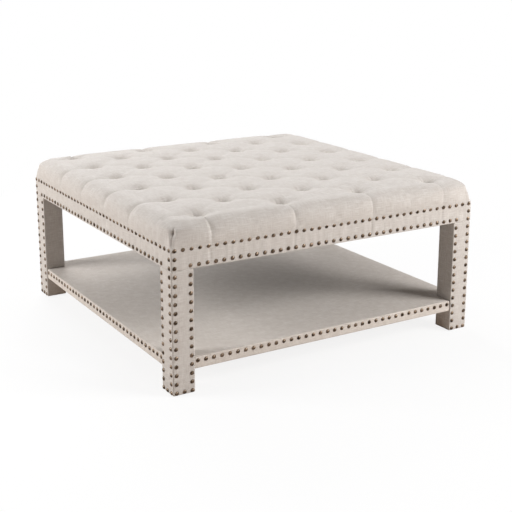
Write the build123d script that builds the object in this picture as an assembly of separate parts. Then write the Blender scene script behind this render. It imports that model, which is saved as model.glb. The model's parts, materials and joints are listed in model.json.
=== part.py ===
from build123d import *
import math
import os
from dataclasses import dataclass

# A square upholstered coffee table: a deep-tufted padded top on an apron frame, four covered legs,
# and a covered shelf that is notched round the legs. Domed nails trim every edge.
# Millimetres. X runs along the front, Y towards the back, Z up.
# The origin is on the floor, under the middle of the table.

# Overall size
table_length = 1000.0
table_depth = 1000.0

# Legs: a wooden post in a fabric sleeve, on a glide
leg_height = 340.0
leg_width = 64.5
leg_cover_wall = 2.25
leg_cover_top = 2.0
glide_thickness = 2.0
glide_diameter = 30.0
glide_facets = 16

# Bars and bores are rounded to this many facets
rod_facets = 8

# Hanger bolts that join the legs to the top
hanger_diameter = 8.0
hanger_in_leg = 40.0
insert_length = 25.0
insert_diameter = 12.0
insert_rail_gap = 2.25
dust_hole_diameter = 16.0

# Apron frame under the deck
rail_height = 50.0
rail_thickness = 20.0
cross_rail_thickness = 22.0
corner_block_side = 90.0
deck_thickness = 12.0
dust_cover_thickness = 1.0

# Wood screws in the frame
screw_head_diameter = 8.0
screw_head_height = 2.5
screw_shank_diameter = 4.0
rail_screw_length = 45.0
rail_screw_height_shares = (0.25, 0.75)

# Cover: skirt over the apron, turned under the rails
skirt_wall = 4.0
skirt_return_thickness = 2.0
skirt_return_width = 10.0

# Padded top
foam_thickness = 26.0
foam_setback = 12.0
wadding_thickness = 38.0
edge_start_rise = 34.0
edge_radius = 26.0
crown_reach = 120.0
pleat_depth = 5.0
pleat_draw = 4.0
corner_draw = 10.0
corner_reach = 30.0
edge_steps = 4
quilt_steps = 3

# Tufting: a diamond grid of buttons
tuft_columns = 7
tuft_rows = 6
tuft_margin_x = 113.0
tuft_margin_y = 75.0
tuft_drop = 15.0
fold_height_share = 0.27
tuft_mouth_diameter = 34.0
tuft_floor_diameter = 20.0
tuft_web = 2.0
tuft_facets = 8
button_diameter = 16.0
button_crown_diameter = 11.0
button_height = 6.0
button_facets = 6
twine_width = 2.0
toggle_length = 14.0
toggle_width = 6.0
toggle_thickness = 3.0

# Shelf: a board on edge strips, in a fabric cover
shelf_bottom = 64.0
shelf_thickness = 33.0
shelf_recess = 4.0
shelf_notch_gap = 0.3
shelf_fabric = 2.0
shelf_return_width = 30.0
shelf_board_thickness = 15.0
shelf_strip_width = 45.0
shelf_block_side = 90.0

# Diagonal bolts from the shelf's corner blocks into the legs
shelf_bolt_diameter = 6.0
shelf_bolt_in_leg = 25.0
shelf_bolt_tail = 4.0
shelf_nut_width = 10.0
shelf_nut_thickness = 5.0
nut_facets = 6

# Nail trim
nail_diameter = 11.0
nail_height = 3.2
nail_facets = 6
nail_pitch = 24.5
nail_edge_inset = 10.5
leg_nail_inner_inset = 9.0
leg_nail_foot = 8.5
leg_nail_head_gap = 16.0
apron_nail_rise = 10.0
top_nail_rise = 2.0
shelf_nail_drop = 11.0
corner_nail_height_shares = (1 / 3, 2 / 3)

# One overrun for every through cut
overrun = 1.0

# Levels and half sizes worked out from the sizes above
half_length = table_length / 2
half_depth = table_depth / 2
rail_bottom = leg_height + skirt_return_thickness
rail_top = rail_bottom + rail_height
deck_top = rail_top + deck_thickness
foam_top = deck_top + foam_thickness
crown_top = foam_top + wadding_thickness
top_nail_height = rail_top + top_nail_rise
edge_start = top_nail_height + edge_start_rise
edge_shoulder = edge_start + edge_radius
crown_rise = crown_top - edge_shoulder
tuft_lip = crown_top - tuft_drop
tuft_floor = foam_top + tuft_web
column_pitch = (table_length - 2 * tuft_margin_x) / (tuft_columns - 1)
half_row_pitch = (table_depth - 2 * tuft_margin_y) / (tuft_rows - 1) / 2
last_row = 2 * (tuft_rows - 1)
frame_x = half_length - skirt_wall
frame_y = half_depth - skirt_wall
rail_inner_x = frame_x - rail_thickness
rail_inner_y = frame_y - rail_thickness
leg_x = half_length - leg_width / 2
leg_y = half_depth - leg_width / 2
hanger_x = rail_inner_x - insert_rail_gap - insert_diameter / 2
hanger_y = rail_inner_y - insert_rail_gap - insert_diameter / 2
post_width = leg_width - 2 * leg_cover_wall
post_top = leg_height - leg_cover_top
shelf_top = shelf_bottom + shelf_thickness
strip_bottom = shelf_bottom + shelf_fabric
board_top = shelf_top - shelf_fabric
board_bottom = board_top - shelf_board_thickness
shelf_bolt_height = (strip_bottom + board_bottom) / 2


@dataclass
class Side:
    """One upright side of the table: u runs along it from its middle, v up from the floor."""

    name: str
    face: Plane
    half_span: float


sides = [
    Side("front", Plane((0, -half_depth, 0), (1, 0, 0), (0, -1, 0)), half_length),
    Side("right", Plane((half_length, 0, 0), (0, 1, 0), (1, 0, 0)), half_depth),
    Side("back", Plane((0, half_depth, 0), (-1, 0, 0), (0, 1, 0)), half_length),
    Side("left", Plane((-half_length, 0, 0), (0, -1, 0), (-1, 0, 0)), half_depth),
]
corners = {
    "front_left": (-1, -1),
    "front_right": (1, -1),
    "back_left": (-1, 1),
    "back_right": (1, 1),
}


def block(x_low, x_high, y_low, y_high, z_low, z_high):
    """A rectangular solid between its lowest and highest corners."""
    middle = ((x_low + x_high) / 2, (y_low + y_high) / 2, (z_low + z_high) / 2)
    return Pos(*middle) * Box(x_high - x_low, y_high - y_low, z_high - z_low)


def slab(half_x, half_y, z_low, z_high):
    """A rectangular solid centred on the table's upright axis."""
    return block(-half_x, half_x, -half_y, half_y, z_low, z_high)


def rod(start, direction, radius, length):
    """A bar, rounded to a few facets, from a start point along a direction."""
    section = RegularPolygon(radius, rod_facets)
    return extrude(Plane(start, z_dir=direction) * section, length)


def extrude_outline(points, z_low, z_high):
    """An upright prism on a closed outline."""
    outline = Plane.XY.offset(z_low) * make_face(Polyline(*points, close=True))
    return extrude(outline, z_high - z_low)


def flat_face(points):
    """A flat face on a closed outline of points."""
    return Face(Wire.make_polygon(points, close=True))


def ring(radius, facets, height):
    """The corners of a level regular polygon, given by the radius of the circle inside it."""
    corner_radius = radius / math.cos(math.pi / facets)
    turns = [2 * math.pi * step / facets for step in range(facets)]
    return [
        Vector(corner_radius * math.cos(turn), corner_radius * math.sin(turn), height)
        for turn in turns
    ]


def tapered(low_radius, high_radius, facets, low, high):
    """A faceted cup or low dome between two levels, every face of it flat."""
    lower, upper = ring(low_radius, facets, low), ring(high_radius, facets, high)
    around = zip(lower, lower[1:] + lower[:1], upper[1:] + upper[:1], upper)
    walls = [flat_face(corners_of_wall) for corners_of_wall in around]
    return Solid(Shell([flat_face(lower), flat_face(upper), *walls]))


def group(pieces):
    """Identical pieces, kept as separate solids under one name."""
    return Compound([solid for piece in pieces for solid in piece.solids()])


def turned(point, corner):
    """A point given from the middle outwards, moved to one of the four corners."""
    return (point[0] * corner[0], point[1] * corner[1])


# Apron frame


def screw(start, direction, length):
    """A wood screw, its head let in flush with the start point."""
    head = rod(start, direction, screw_head_diameter / 2, screw_head_height)
    return head + rod(start, direction, screw_shank_diameter / 2, length)


def rail_screws():
    """Two screws through the front and back rails into the end of each side rail."""
    made = []
    for side_x, side_y in corners.values():
        for share in rail_screw_height_shares:
            height = rail_bottom + rail_height * share
            start = (side_x * (frame_x - rail_thickness / 2), side_y * frame_y, height)
            made.append(screw(start, (0, -side_y, 0), rail_screw_length))
    return made


def rails():
    """The four apron rails: front and back run full length, the side rails fit between them."""
    made = {}
    for name, sign in (("back", 1), ("front", -1)):
        near, far = sorted((sign * rail_inner_y, sign * frame_y))
        made[f"rail_{name}"] = block(-frame_x, frame_x, near, far, rail_bottom, rail_top)
    for name, sign in (("right", 1), ("left", -1)):
        near, far = sorted((sign * rail_inner_x, sign * frame_x))
        body = block(near, far, -rail_inner_y, rail_inner_y, rail_bottom, rail_top)
        made[f"rail_{name}"] = body
    return made


def cross_rails():
    """Two rails from front to back, midway between two columns of tufts."""
    made = {}
    half_thickness = cross_rail_thickness / 2
    for name, sign in (("right", 1), ("left", -1)):
        middle = sign * column_pitch * 3 / 2
        made[f"cross_rail_{name}"] = block(
            middle - half_thickness,
            middle + half_thickness,
            -rail_inner_y,
            rail_inner_y,
            rail_bottom,
            rail_top,
        )
    return made


def hanger_place(corner):
    """Where a leg's hanger bolt stands, in plan: just clear of the rails."""
    return turned((hanger_x, hanger_y), corner)


def corner_block(corner):
    """A triangular glue block in the frame's corner, bored for the leg's threaded insert."""
    outline = [
        turned((rail_inner_x, rail_inner_y), corner),
        turned((rail_inner_x - corner_block_side, rail_inner_y), corner),
        turned((rail_inner_x, rail_inner_y - corner_block_side), corner),
    ]
    x, y = hanger_place(corner)
    bore = rod((x, y, rail_bottom), (0, 0, 1), insert_diameter / 2, insert_length)
    return extrude_outline(outline, rail_bottom, rail_top) - bore


def threaded_insert(corner):
    """A sleeve in the corner block that takes the hanger bolt's upper thread."""
    x, y = hanger_place(corner)
    start = (x, y, rail_bottom)
    sleeve = rod(start, (0, 0, 1), insert_diameter / 2, insert_length)
    return sleeve - rod(start, (0, 0, 1), hanger_diameter / 2, insert_length)


def hanger_bolt(corner):
    """A stud with its lower end in the leg and its upper end in the insert."""
    x, y = hanger_place(corner)
    start = (x, y, post_top - hanger_in_leg)
    length = rail_bottom + insert_length - start[2]
    return rod(start, (0, 0, 1), hanger_diameter / 2, length)


def dust_cover():
    """A thin sheet under the rails, with a hole for each hanger bolt."""
    margin = skirt_wall + skirt_return_width
    low = rail_bottom - dust_cover_thickness
    sheet = slab(half_length - margin, half_depth - margin, low, rail_bottom)
    for corner in corners.values():
        x, y = hanger_place(corner)
        sheet -= rod((x, y, low), (0, 0, 1), dust_hole_diameter / 2, dust_cover_thickness)
    return sheet


# Padded top


def tuft_places():
    """Plan places of the buttons: every other crossing of the columns and half rows."""
    places = []
    for column in range(tuft_columns):
        for row in range(last_row + 1):
            if (column + row) % 2 == 0:
                x = -half_length + tuft_margin_x + column * column_pitch
                y = -half_depth + tuft_margin_y + row * half_row_pitch
                places.append((x, y))
    return places


def rolled_edge(inset):
    """Height of the pillow tops above the edge's start, at an inset from one side."""
    if inset < edge_radius:
        return math.sqrt(edge_radius**2 - (edge_radius - inset) ** 2)
    share = min((inset - edge_radius) / crown_reach, 1)
    return edge_radius + crown_rise * (1 - (1 - share) ** 2)


def between_pleats(count):
    """0 on a pleat and 1 midway to the next, by position along an edge in half spacings."""
    return abs(math.sin(math.pi * count / 2))


def quilting(column, row):
    """0 at a button and 1 on top of a pillow; the folds between buttons stay low."""
    beyond_column = column < 0 or column > tuft_columns - 1
    beyond_row = row < 0 or row > last_row
    if beyond_column and beyond_row:
        return between_pleats(column) * between_pleats(row)
    if beyond_column:
        return between_pleats(row)
    if beyond_row:
        return between_pleats(column)
    rising = between_pleats(column + row)
    falling = between_pleats(column - row)
    on_fold = rising + falling - 2 * rising * falling
    return rising * falling + fold_height_share * on_fold


def grid_place(x, y):
    """A plan place counted in columns and half rows of the tuft grid."""
    column = (x + half_length - tuft_margin_x) / column_pitch
    row = (y + half_depth - tuft_margin_y) / half_row_pitch
    return column, row


def top_height(x, y):
    """Height of the cover's upper face at a plan place."""
    inset_x = half_length - abs(x)
    inset_y = half_depth - abs(y)
    column, row = grid_place(x, y)
    pillow_top = edge_start + min(rolled_edge(inset_x), rolled_edge(inset_y))
    fade_x = (inset_x - edge_radius) / (tuft_margin_x - edge_radius)
    fade_y = (inset_y - edge_radius) / (tuft_margin_y - edge_radius)
    fade = min(max(min(fade_x, fade_y), 0), 1)
    drop = pleat_depth + (pillow_top - tuft_lip - pleat_depth) * fade
    return pillow_top - drop * (1 - quilting(column, row))


def edge_insets():
    """Insets across a rolled edge, closer together where it turns down."""
    turns = [math.pi / 2 * step / edge_steps for step in range(edge_steps + 1)]
    return [edge_radius * (1 - math.cos(turn)) for turn in turns]


def spread_places(half_span, margin, steps):
    """Facet lines across the table: over the rolled edge, through the tuft grid, and back."""
    near = [inset - half_span for inset in edge_insets()]
    span = 2 * (half_span - margin)
    grid = [margin - half_span + span * step / steps for step in range(steps + 1)]
    return near + grid + [-place for place in reversed(near)]


def corner_share(x, y):
    """1 at a corner of the table, falling to 0 where the rounding of the corner ends."""
    share_x = max(1 - (half_length - abs(x)) / corner_reach, 0)
    share_y = max(1 - (half_depth - abs(y)) / corner_reach, 0)
    return share_x * share_y


def cover_point(x, y):
    """A corner of the top's facets; at the sides it is drawn in on a pleat and at a table corner."""
    column, row = grid_place(x, y)
    at_side, at_end = abs(x) >= half_length, abs(y) >= half_depth
    draw_x = draw_y = corner_draw * corner_share(x, y)
    if at_side and not at_end:
        draw_x += pleat_draw * (1 - between_pleats(row))
    if at_end and not at_side:
        draw_y += pleat_draw * (1 - between_pleats(column))
    return Vector(x - math.copysign(draw_x, x), y - math.copysign(draw_y, y), top_height(x, y))


def facet_strip(near, far, rising=lambda place: True):
    """Two facets for each step between two rows of points."""
    faces = []
    for a, b, c, d in zip(near, near[1:], far[1:], far):
        halves = [(a, b, c), (a, c, d)] if rising((a + c) / 2) else [(a, b, d), (b, c, d)]
        faces += [flat_face(half) for half in halves]
    return faces


def fold_rises(place):
    """Whether the fold across this part of the grid runs from front left to back right."""
    column, row = grid_place(place.X, place.Y)
    return (math.floor(column) + math.floor(row)) % 2 == 0


def cover_body():
    """The cover as a solid block: quilted facets on top, drawn-in rims, and the skirt's sides."""
    xs = spread_places(half_length, tuft_margin_x, quilt_steps * (tuft_columns - 1))
    ys = spread_places(half_depth, tuft_margin_y, quilt_steps * last_row)
    rows = [[cover_point(x, y) for x in xs] for y in ys]
    faces = []
    for near, far in zip(rows, rows[1:]):
        faces += facet_strip(near, far, fold_rises)
    rims = [
        [(x, ys[0]) for x in xs],
        [(xs[-1], y) for y in ys],
        [(x, ys[-1]) for x in reversed(xs)],
        [(xs[0], y) for y in reversed(ys)],
    ]
    for rim in rims:
        upper = [cover_point(x, y) for x, y in rim]
        lower = [Vector(x, y, top_nail_height) for x, y in rim]
        hem = [Vector(x, y, leg_height) for x, y in (rim[-1], rim[0])]
        faces += facet_strip(lower, upper)
        faces.append(flat_face(lower + hem))
    faces.append(flat_face([Vector(*rim[0], leg_height) for rim in rims]))
    return Solid(Shell(faces))


def tuft_pits():
    """A funnel for each button, from above the crown down to the button's floor."""
    spread = (tuft_mouth_diameter - tuft_floor_diameter) / 2 / (tuft_lip - tuft_floor)
    depth = crown_top + overrun - tuft_floor
    low_radius = tuft_floor_diameter / 2
    high_radius = low_radius + spread * depth
    pit = tapered(low_radius, high_radius, tuft_facets, tuft_floor, tuft_floor + depth)
    return [Pos(x, y, 0) * pit for x, y in tuft_places()]


def tufted_cover():
    """Fabric and wadding in one: quilted top, rolled edges, skirt, and the turn-under below."""
    frame_space = slab(frame_x, frame_y, rail_bottom, deck_top)
    margin = skirt_wall + skirt_return_width
    mouth = slab(half_length - margin, half_depth - margin, leg_height - overrun, rail_bottom)
    return cover_body().cut(frame_space, mouth, foam_block(), *tuft_pits(), *twines())


def foam_block():
    """The foam pad before it is pierced."""
    return slab(frame_x - foam_setback, frame_y - foam_setback, deck_top, foam_top)


def twines():
    """One tight twine for each button, from the tuft's floor to the deck's underside."""
    twine = slab(twine_width / 2, twine_width / 2, rail_top, tuft_floor)
    return [Pos(x, y, 0) * twine for x, y in tuft_places()]


def buttons():
    """Low covered buttons, sunk on the floor of each tuft."""
    radii = (button_diameter / 2, button_crown_diameter / 2)
    button = tapered(*radii, button_facets, tuft_floor, tuft_floor + button_height)
    return [Pos(x, y, 0) * button for x, y in tuft_places()]


def toggles():
    """Small bars under the deck that the twines are tied to."""
    toggle = slab(toggle_length / 2, toggle_width / 2, rail_top - toggle_thickness, rail_top)
    return [Pos(x, y, 0) * toggle for x, y in tuft_places()]


# Legs


def shelf_bolt(corner):
    """A stud on the diagonal, from inside the leg through the shelf's corner block."""
    start_x = half_length - leg_width + shelf_bolt_in_leg / math.sqrt(2)
    start_y = half_depth - leg_width + shelf_bolt_in_leg / math.sqrt(2)
    x, y = turned((start_x, start_y), corner)
    length = shelf_bolt_in_leg + block_far_side() + shelf_nut_thickness + shelf_bolt_tail
    direction = (-corner[0], -corner[1], 0)
    return rod((x, y, shelf_bolt_height), direction, shelf_bolt_diameter / 2, length)


def leg_post(corner):
    """A square wooden post, bored for its two studs."""
    x, y = turned((leg_x, leg_y), corner)
    half = post_width / 2
    post = block(x - half, x + half, y - half, y + half, glide_thickness, post_top)
    return post - hanger_bolt(corner) - shelf_bolt(corner)


def leg_cover(corner):
    """A fabric sleeve on the post, closed at the top."""
    x, y = turned((leg_x, leg_y), corner)
    outer, inner = leg_width / 2, post_width / 2
    sleeve = block(x - outer, x + outer, y - outer, y + outer, glide_thickness, leg_height)
    sleeve -= block(x - inner, x + inner, y - inner, y + inner, glide_thickness, post_top)
    return sleeve - hanger_bolt(corner) - shelf_bolt(corner)


def glide(corner):
    """A round nail-on glide under the post."""
    x, y = turned((leg_x, leg_y), corner)
    return Pos(x, y, 0) * extrude(RegularPolygon(glide_diameter / 2, glide_facets), glide_thickness)


# Shelf


def notched(margin, z_low, z_high):
    """The shelf's outline, drawn in by a margin all round, with its corners cut out for the legs."""
    outer_x = half_length - shelf_recess - margin
    outer_y = half_depth - shelf_recess - margin
    notch_x = half_length - leg_width - shelf_notch_gap - margin
    notch_y = half_depth - leg_width - shelf_notch_gap - margin
    quarter = [(outer_x, notch_y), (notch_x, notch_y), (notch_x, outer_y)]
    outline = [turned(point, (1, 1)) for point in quarter]
    outline += [turned(point, (-1, 1)) for point in reversed(quarter)]
    outline += [turned(point, (-1, -1)) for point in quarter]
    outline += [turned(point, (1, -1)) for point in reversed(quarter)]
    return extrude_outline(outline, z_low, z_high)


def shelf_cover():
    """Fabric over the board and its strips, turned under all round."""
    cover = notched(0, shelf_bottom, shelf_top)
    cover -= notched(shelf_fabric, strip_bottom, board_top)
    opening = notched(shelf_fabric + shelf_return_width, shelf_bottom, strip_bottom)
    cover -= opening
    for corner in corners.values():
        cover -= shelf_bolt(corner)
    return cover


def strip_edges():
    """Outer and inner lines of the strips under the board's edge, and the line of the notches."""
    outer_x = half_length - shelf_recess - shelf_fabric
    outer_y = half_depth - shelf_recess - shelf_fabric
    notch_x = half_length - leg_width - shelf_notch_gap - shelf_fabric
    notch_y = half_depth - leg_width - shelf_notch_gap - shelf_fabric
    return outer_x, outer_y, notch_x, notch_y


def block_far_side():
    """From the leg's inner edge, along the diagonal, to the far side of the shelf's corner block."""
    outer_x, _, _, _ = strip_edges()
    corner_x = outer_x - shelf_strip_width
    middle_x = corner_x - shelf_block_side / 2
    return (half_length - leg_width - middle_x) * math.sqrt(2)


def shelf_strips():
    """Strips under the board's four edges and one across its middle."""
    outer_x, outer_y, notch_x, notch_y = strip_edges()
    inner_x, inner_y = outer_x - shelf_strip_width, outer_y - shelf_strip_width
    half_strip = shelf_strip_width / 2
    low, high = strip_bottom, board_bottom
    return {
        "shelf_strip_front": block(-notch_x, notch_x, -outer_y, -inner_y, low, high),
        "shelf_strip_back": block(-notch_x, notch_x, inner_y, outer_y, low, high),
        "shelf_strip_left": block(-outer_x, -inner_x, -notch_y, notch_y, low, high),
        "shelf_strip_right": block(inner_x, outer_x, -notch_y, notch_y, low, high),
        "shelf_strip_middle": block(-half_strip, half_strip, -inner_y, inner_y, low, high),
    }


def shelf_corner_block(corner):
    """A corner brace behind each notch, bored on the diagonal for the shelf bolt."""
    outer_x, outer_y, notch_x, notch_y = strip_edges()
    inner_x, inner_y = outer_x - shelf_strip_width, outer_y - shelf_strip_width
    quarter = [
        (notch_x, notch_y),
        (notch_x, inner_y),
        (inner_x - shelf_block_side, inner_y),
        (inner_x, inner_y - shelf_block_side),
        (inner_x, notch_y),
    ]
    outline = [turned(point, corner) for point in quarter]
    return extrude_outline(outline, strip_bottom, board_bottom) - shelf_bolt(corner)


def shelf_nut(corner):
    """A nut on the shelf bolt, against the corner block's long side."""
    start_x, start_y = half_length - leg_width, half_depth - leg_width
    reach = block_far_side() / math.sqrt(2)
    x, y = turned((start_x - reach, start_y - reach), corner)
    place = Plane((x, y, shelf_bolt_height), z_dir=(-corner[0], -corner[1], 0))
    hexagon = RegularPolygon(shelf_nut_width / 2, nut_facets, major_radius=False)
    return extrude(place * hexagon, shelf_nut_thickness) - shelf_bolt(corner)


# Nail trim


def nail():
    """A domed nail head, lying on the XY plane."""
    rim = RegularPolygon(nail_diameter / 2, nail_facets).wire()
    return Solid.make_loft([rim, Vertex(0, 0, nail_height)], ruled=True)


def spaced(start, end):
    """Even places from start to end, as near to the nail pitch as the length allows."""
    steps = max(round((end - start) / nail_pitch), 1)
    return [start + (end - start) * step / steps for step in range(steps + 1)]


def nails(places, recess=0.0):
    """Nail heads at the same places of all four sides, given by a rule that a side's span fills."""
    head = nail()
    made = []
    for side in sides:
        face = side.face.offset(-recess)
        made += [face * Pos(u, v, 0) * head for u, v in places(side.half_span)]
    return made


def top_nail_places(half_span):
    """The row round the top edge."""
    end = half_span - nail_edge_inset
    return [(u, top_nail_height) for u in spaced(-end, end)]


def apron_nail_places(half_span):
    """The row along the apron's lower edge, and the nails that climb each corner to the top row."""
    end = half_span - leg_width + leg_nail_inner_inset
    places = [(u, leg_height + apron_nail_rise) for u in spaced(-end, end)]
    high_leg_nail = leg_height - leg_nail_head_gap
    for share in corner_nail_height_shares:
        height = high_leg_nail + (top_nail_height - high_leg_nail) * share
        places += [(sign * (half_span - nail_edge_inset), height) for sign in (-1, 1)]
    return places


def leg_nail_places(half_span):
    """Two columns on each leg's outward face, and one nail between them at the foot."""
    outer = half_span - nail_edge_inset
    inner = half_span - leg_width + leg_nail_inner_inset
    places = []
    for sign in (-1, 1):
        for height in spaced(leg_nail_foot, leg_height - leg_nail_head_gap):
            places += [(sign * outer, height), (sign * inner, height)]
        places.append((sign * (outer + inner) / 2, leg_nail_foot))
    return places


def shelf_nail_places(half_span):
    """The row along the shelf's edge, between the legs."""
    end = half_span - leg_width - nail_edge_inset
    return [(u, shelf_top - shelf_nail_drop) for u in spaced(-end, end)]


# The whole table


def build_frame():
    """The apron frame, the deck and what is inside and under them."""
    screws = rail_screws()
    made = {name: body.cut(*screws) for name, body in rails().items()}
    made |= cross_rails()
    made |= {f"corner_block_{name}": corner_block(place) for name, place in corners.items()}
    made["deck_board"] = slab(frame_x, frame_y, rail_top, deck_top).cut(*twines())
    made["rail_screws"] = group(screws)
    made["threaded_inserts"] = group(threaded_insert(place) for place in corners.values())
    made["hanger_bolts"] = group(hanger_bolt(place) for place in corners.values())
    made["dust_cover"] = dust_cover()
    return made


def build_padding():
    """The foam, the tufted cover, and the buttons with their twines and toggles."""
    return {
        "foam_pad": foam_block().cut(*twines()),
        "tufted_cover": tufted_cover(),
        "tuft_buttons": group(buttons()),
        "button_twines": group(twines()),
        "twine_toggles": group(toggles()),
    }


def build_legs():
    """Posts, sleeves and glides."""
    made = {}
    for name, place in corners.items():
        made[f"leg_post_{name}"] = leg_post(place)
        made[f"leg_cover_{name}"] = leg_cover(place)
    made["leg_glides"] = group(glide(place) for place in corners.values())
    return made


def build_shelf():
    """Board, strips, corner blocks, cover and the bolts that hold the shelf to the legs."""
    made = shelf_strips()
    made["shelf_board"] = notched(shelf_fabric, board_bottom, board_top)
    for name, place in corners.items():
        made[f"shelf_corner_block_{name}"] = shelf_corner_block(place)
    made["shelf_cover"] = shelf_cover()
    made["shelf_bolts"] = group(shelf_bolt(place) for place in corners.values())
    made["shelf_bolt_nuts"] = group(shelf_nut(place) for place in corners.values())
    return made


def build_nails():
    """The four rows of nail trim."""
    return {
        "top_edge_nails": group(nails(top_nail_places)),
        "apron_nails": group(nails(apron_nail_places)),
        "leg_nails": group(nails(leg_nail_places)),
        "shelf_nails": group(nails(shelf_nail_places, shelf_recess)),
    }


os.makedirs("parts", exist_ok=True)
for build in (build_frame, build_padding, build_legs, build_shelf, build_nails):
    for node, shape in build().items():
        export_step(shape, f"parts/{node}.step")
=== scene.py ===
"""A square coffee table with a tufted linen top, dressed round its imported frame.

Lengths are in metres, except where a name ends in _mm. X runs along the front to the right,
Y towards the back and Z up, with the origin on the floor under the middle of the table.
"""

import json
import logging
import math
from dataclasses import dataclass, field
from enum import Enum

import bmesh
import bpy
import numpy as np
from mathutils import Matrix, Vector, geometry, kdtree, noise

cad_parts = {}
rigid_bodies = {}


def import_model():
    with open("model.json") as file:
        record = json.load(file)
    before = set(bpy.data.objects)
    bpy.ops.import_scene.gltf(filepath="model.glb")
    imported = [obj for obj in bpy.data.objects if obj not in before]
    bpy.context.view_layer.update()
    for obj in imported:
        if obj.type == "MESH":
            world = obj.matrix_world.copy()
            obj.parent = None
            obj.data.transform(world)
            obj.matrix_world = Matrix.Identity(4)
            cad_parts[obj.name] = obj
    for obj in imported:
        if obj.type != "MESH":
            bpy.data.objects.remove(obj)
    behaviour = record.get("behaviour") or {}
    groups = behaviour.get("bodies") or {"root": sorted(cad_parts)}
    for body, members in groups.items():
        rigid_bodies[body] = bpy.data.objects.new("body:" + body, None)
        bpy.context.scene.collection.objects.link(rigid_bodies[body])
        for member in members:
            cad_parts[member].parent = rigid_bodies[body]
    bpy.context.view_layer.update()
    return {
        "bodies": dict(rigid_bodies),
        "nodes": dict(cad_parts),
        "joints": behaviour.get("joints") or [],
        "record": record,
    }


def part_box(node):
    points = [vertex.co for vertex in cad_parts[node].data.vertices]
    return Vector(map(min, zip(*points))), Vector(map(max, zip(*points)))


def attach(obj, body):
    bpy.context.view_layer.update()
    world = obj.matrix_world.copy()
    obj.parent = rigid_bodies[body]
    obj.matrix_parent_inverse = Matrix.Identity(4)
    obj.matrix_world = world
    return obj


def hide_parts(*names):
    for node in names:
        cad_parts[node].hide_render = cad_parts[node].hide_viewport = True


LOG = logging.getLogger("tufted_table")
MM = 0.001
BODY = "root"
CLOTH_UV = "cloth"


def linear(hex_colour: str) -> tuple[float, float, float, float]:
    """Turn an sRGB hex colour into linear light.

    Args:
        hex_colour: Six hex digits, such as "D8D0C9".

    Returns:
        Red, green, blue and an alpha of one.
    """
    channels = [int(hex_colour[place : place + 2], 16) / 255 for place in (0, 2, 4)]
    light = [c / 12.92 if c <= 0.04045 else ((c + 0.055) / 1.055) ** 2.4 for c in channels]
    return (light[0], light[1], light[2], 1.0)


def add_node(tree: bpy.types.NodeTree, kind: str, settings: dict | None = None,
             links: dict | None = None) -> bpy.types.Node:
    """Add one node to a tree.

    Args:
        tree: The material's, world's or modifier's tree.
        kind: The node's type name.
        settings: Properties by name, or input values by the input's name or number.
        links: Output sockets by the name or number of the input that each one feeds.

    Returns:
        The new node.
    """
    node = tree.nodes.new(kind)
    for key, value in (settings or {}).items():
        if isinstance(key, str) and hasattr(node, key):
            setattr(node, key, value)
        else:
            node.inputs[key].default_value = value
    for key, socket in (links or {}).items():
        tree.links.new(socket, node.inputs[key])
    return node


def empty_tree(owner: bpy.types.Material | bpy.types.World) -> bpy.types.NodeTree:
    """Switch on the nodes of a material or a world, and clear them.

    Args:
        owner: The material or world.

    Returns:
        Its tree, which is empty.
    """
    owner.use_nodes = True
    owner.node_tree.nodes.clear()
    return owner.node_tree


def linked(name: str, data: bpy.types.ID) -> bpy.types.Object:
    """Make an object and link it to the scene.

    Args:
        name: The object's name.
        data: The mesh, light or camera that it holds.

    Returns:
        The new object.
    """
    made = bpy.data.objects.new(name, data)
    bpy.context.scene.collection.objects.link(made)
    return made


def smooth_step(share: np.ndarray) -> np.ndarray:
    """Ease a share from 0 to 1, flat at both ends."""
    share = np.clip(share, 0.0, 1.0)
    return share * share * (3 - 2 * share)


def eased(share: float) -> float:
    """Ease a single share from 0 to 1."""
    return float(smooth_step(np.array(share)))


def bell(distance: np.ndarray, width: float) -> np.ndarray:
    """A smooth hump of height 1 that is about width wide on each side."""
    return np.exp(-((distance / width) ** 2))


def waver(points: np.ndarray, size: float, seed: float) -> np.ndarray:
    """Smooth noise from about -1 to 1 at each point.

    Args:
        points: Places, one row each, in metres.
        size: Rough width of one swell, in metres.
        seed: Picks the pattern.

    Returns:
        One value for each point.
    """
    shift = Vector((seed * 7.31, seed * 3.17, seed * 5.73))
    return np.array([noise.noise(Vector(point) / size + shift) for point in points.tolist()])


def quarter_turns(count: int) -> np.ndarray:
    """A matrix that turns plan places, one in each row, by quarter turns to the left."""
    cosine, sine = round(math.cos(count * math.pi / 2)), round(math.sin(count * math.pi / 2))
    return np.array([[cosine, sine], [-sine, cosine]])


def node_points(node: str) -> np.ndarray:
    """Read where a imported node's vertices are.

    Args:
        node: The node's name.

    Returns:
        Every vertex, one row each.
    """
    mesh = bpy.data.objects[node].data
    flat = np.zeros(len(mesh.vertices) * 3)
    mesh.vertices.foreach_get("co", flat)
    return flat.reshape(-1, 3)


def distinct(points: np.ndarray, reach: float) -> np.ndarray:
    """Merge points that lie within reach of each other.

    Args:
        points: Places, one row each.
        reach: Two points nearer than this are one place.

    Returns:
        The mean of each cluster, in the order of their first points.
    """
    clusters: list[list[np.ndarray]] = []
    for point in points:
        for cluster in clusters:
            if np.linalg.norm(cluster[0] - point) < reach:
                cluster.append(point)
                break
        else:
            clusters.append([point])
    return np.array([np.mean(cluster, axis=0) for cluster in clusters])


def graded(stops: list[float], spacing: float, crowding: float) -> np.ndarray:
    """Places from the first stop to the last, closer together near each stop.

    Args:
        stops: Places to keep, from low to high.
        spacing: The mean distance between neighbours.
        crowding: 0 for even places, towards 1 for places that crowd at the stops.

    Returns:
        All places, low to high, every stop among them.
    """
    places = [stops[0]]
    for low, high in zip(stops, stops[1:]):
        count = max(round((high - low) / spacing), 1)
        for step in range(1, count + 1):
            share = step / count
            share -= crowding * math.sin(2 * math.pi * share) / (2 * math.pi)
            places.append(low + (high - low) * share)
    return np.array(places)


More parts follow.
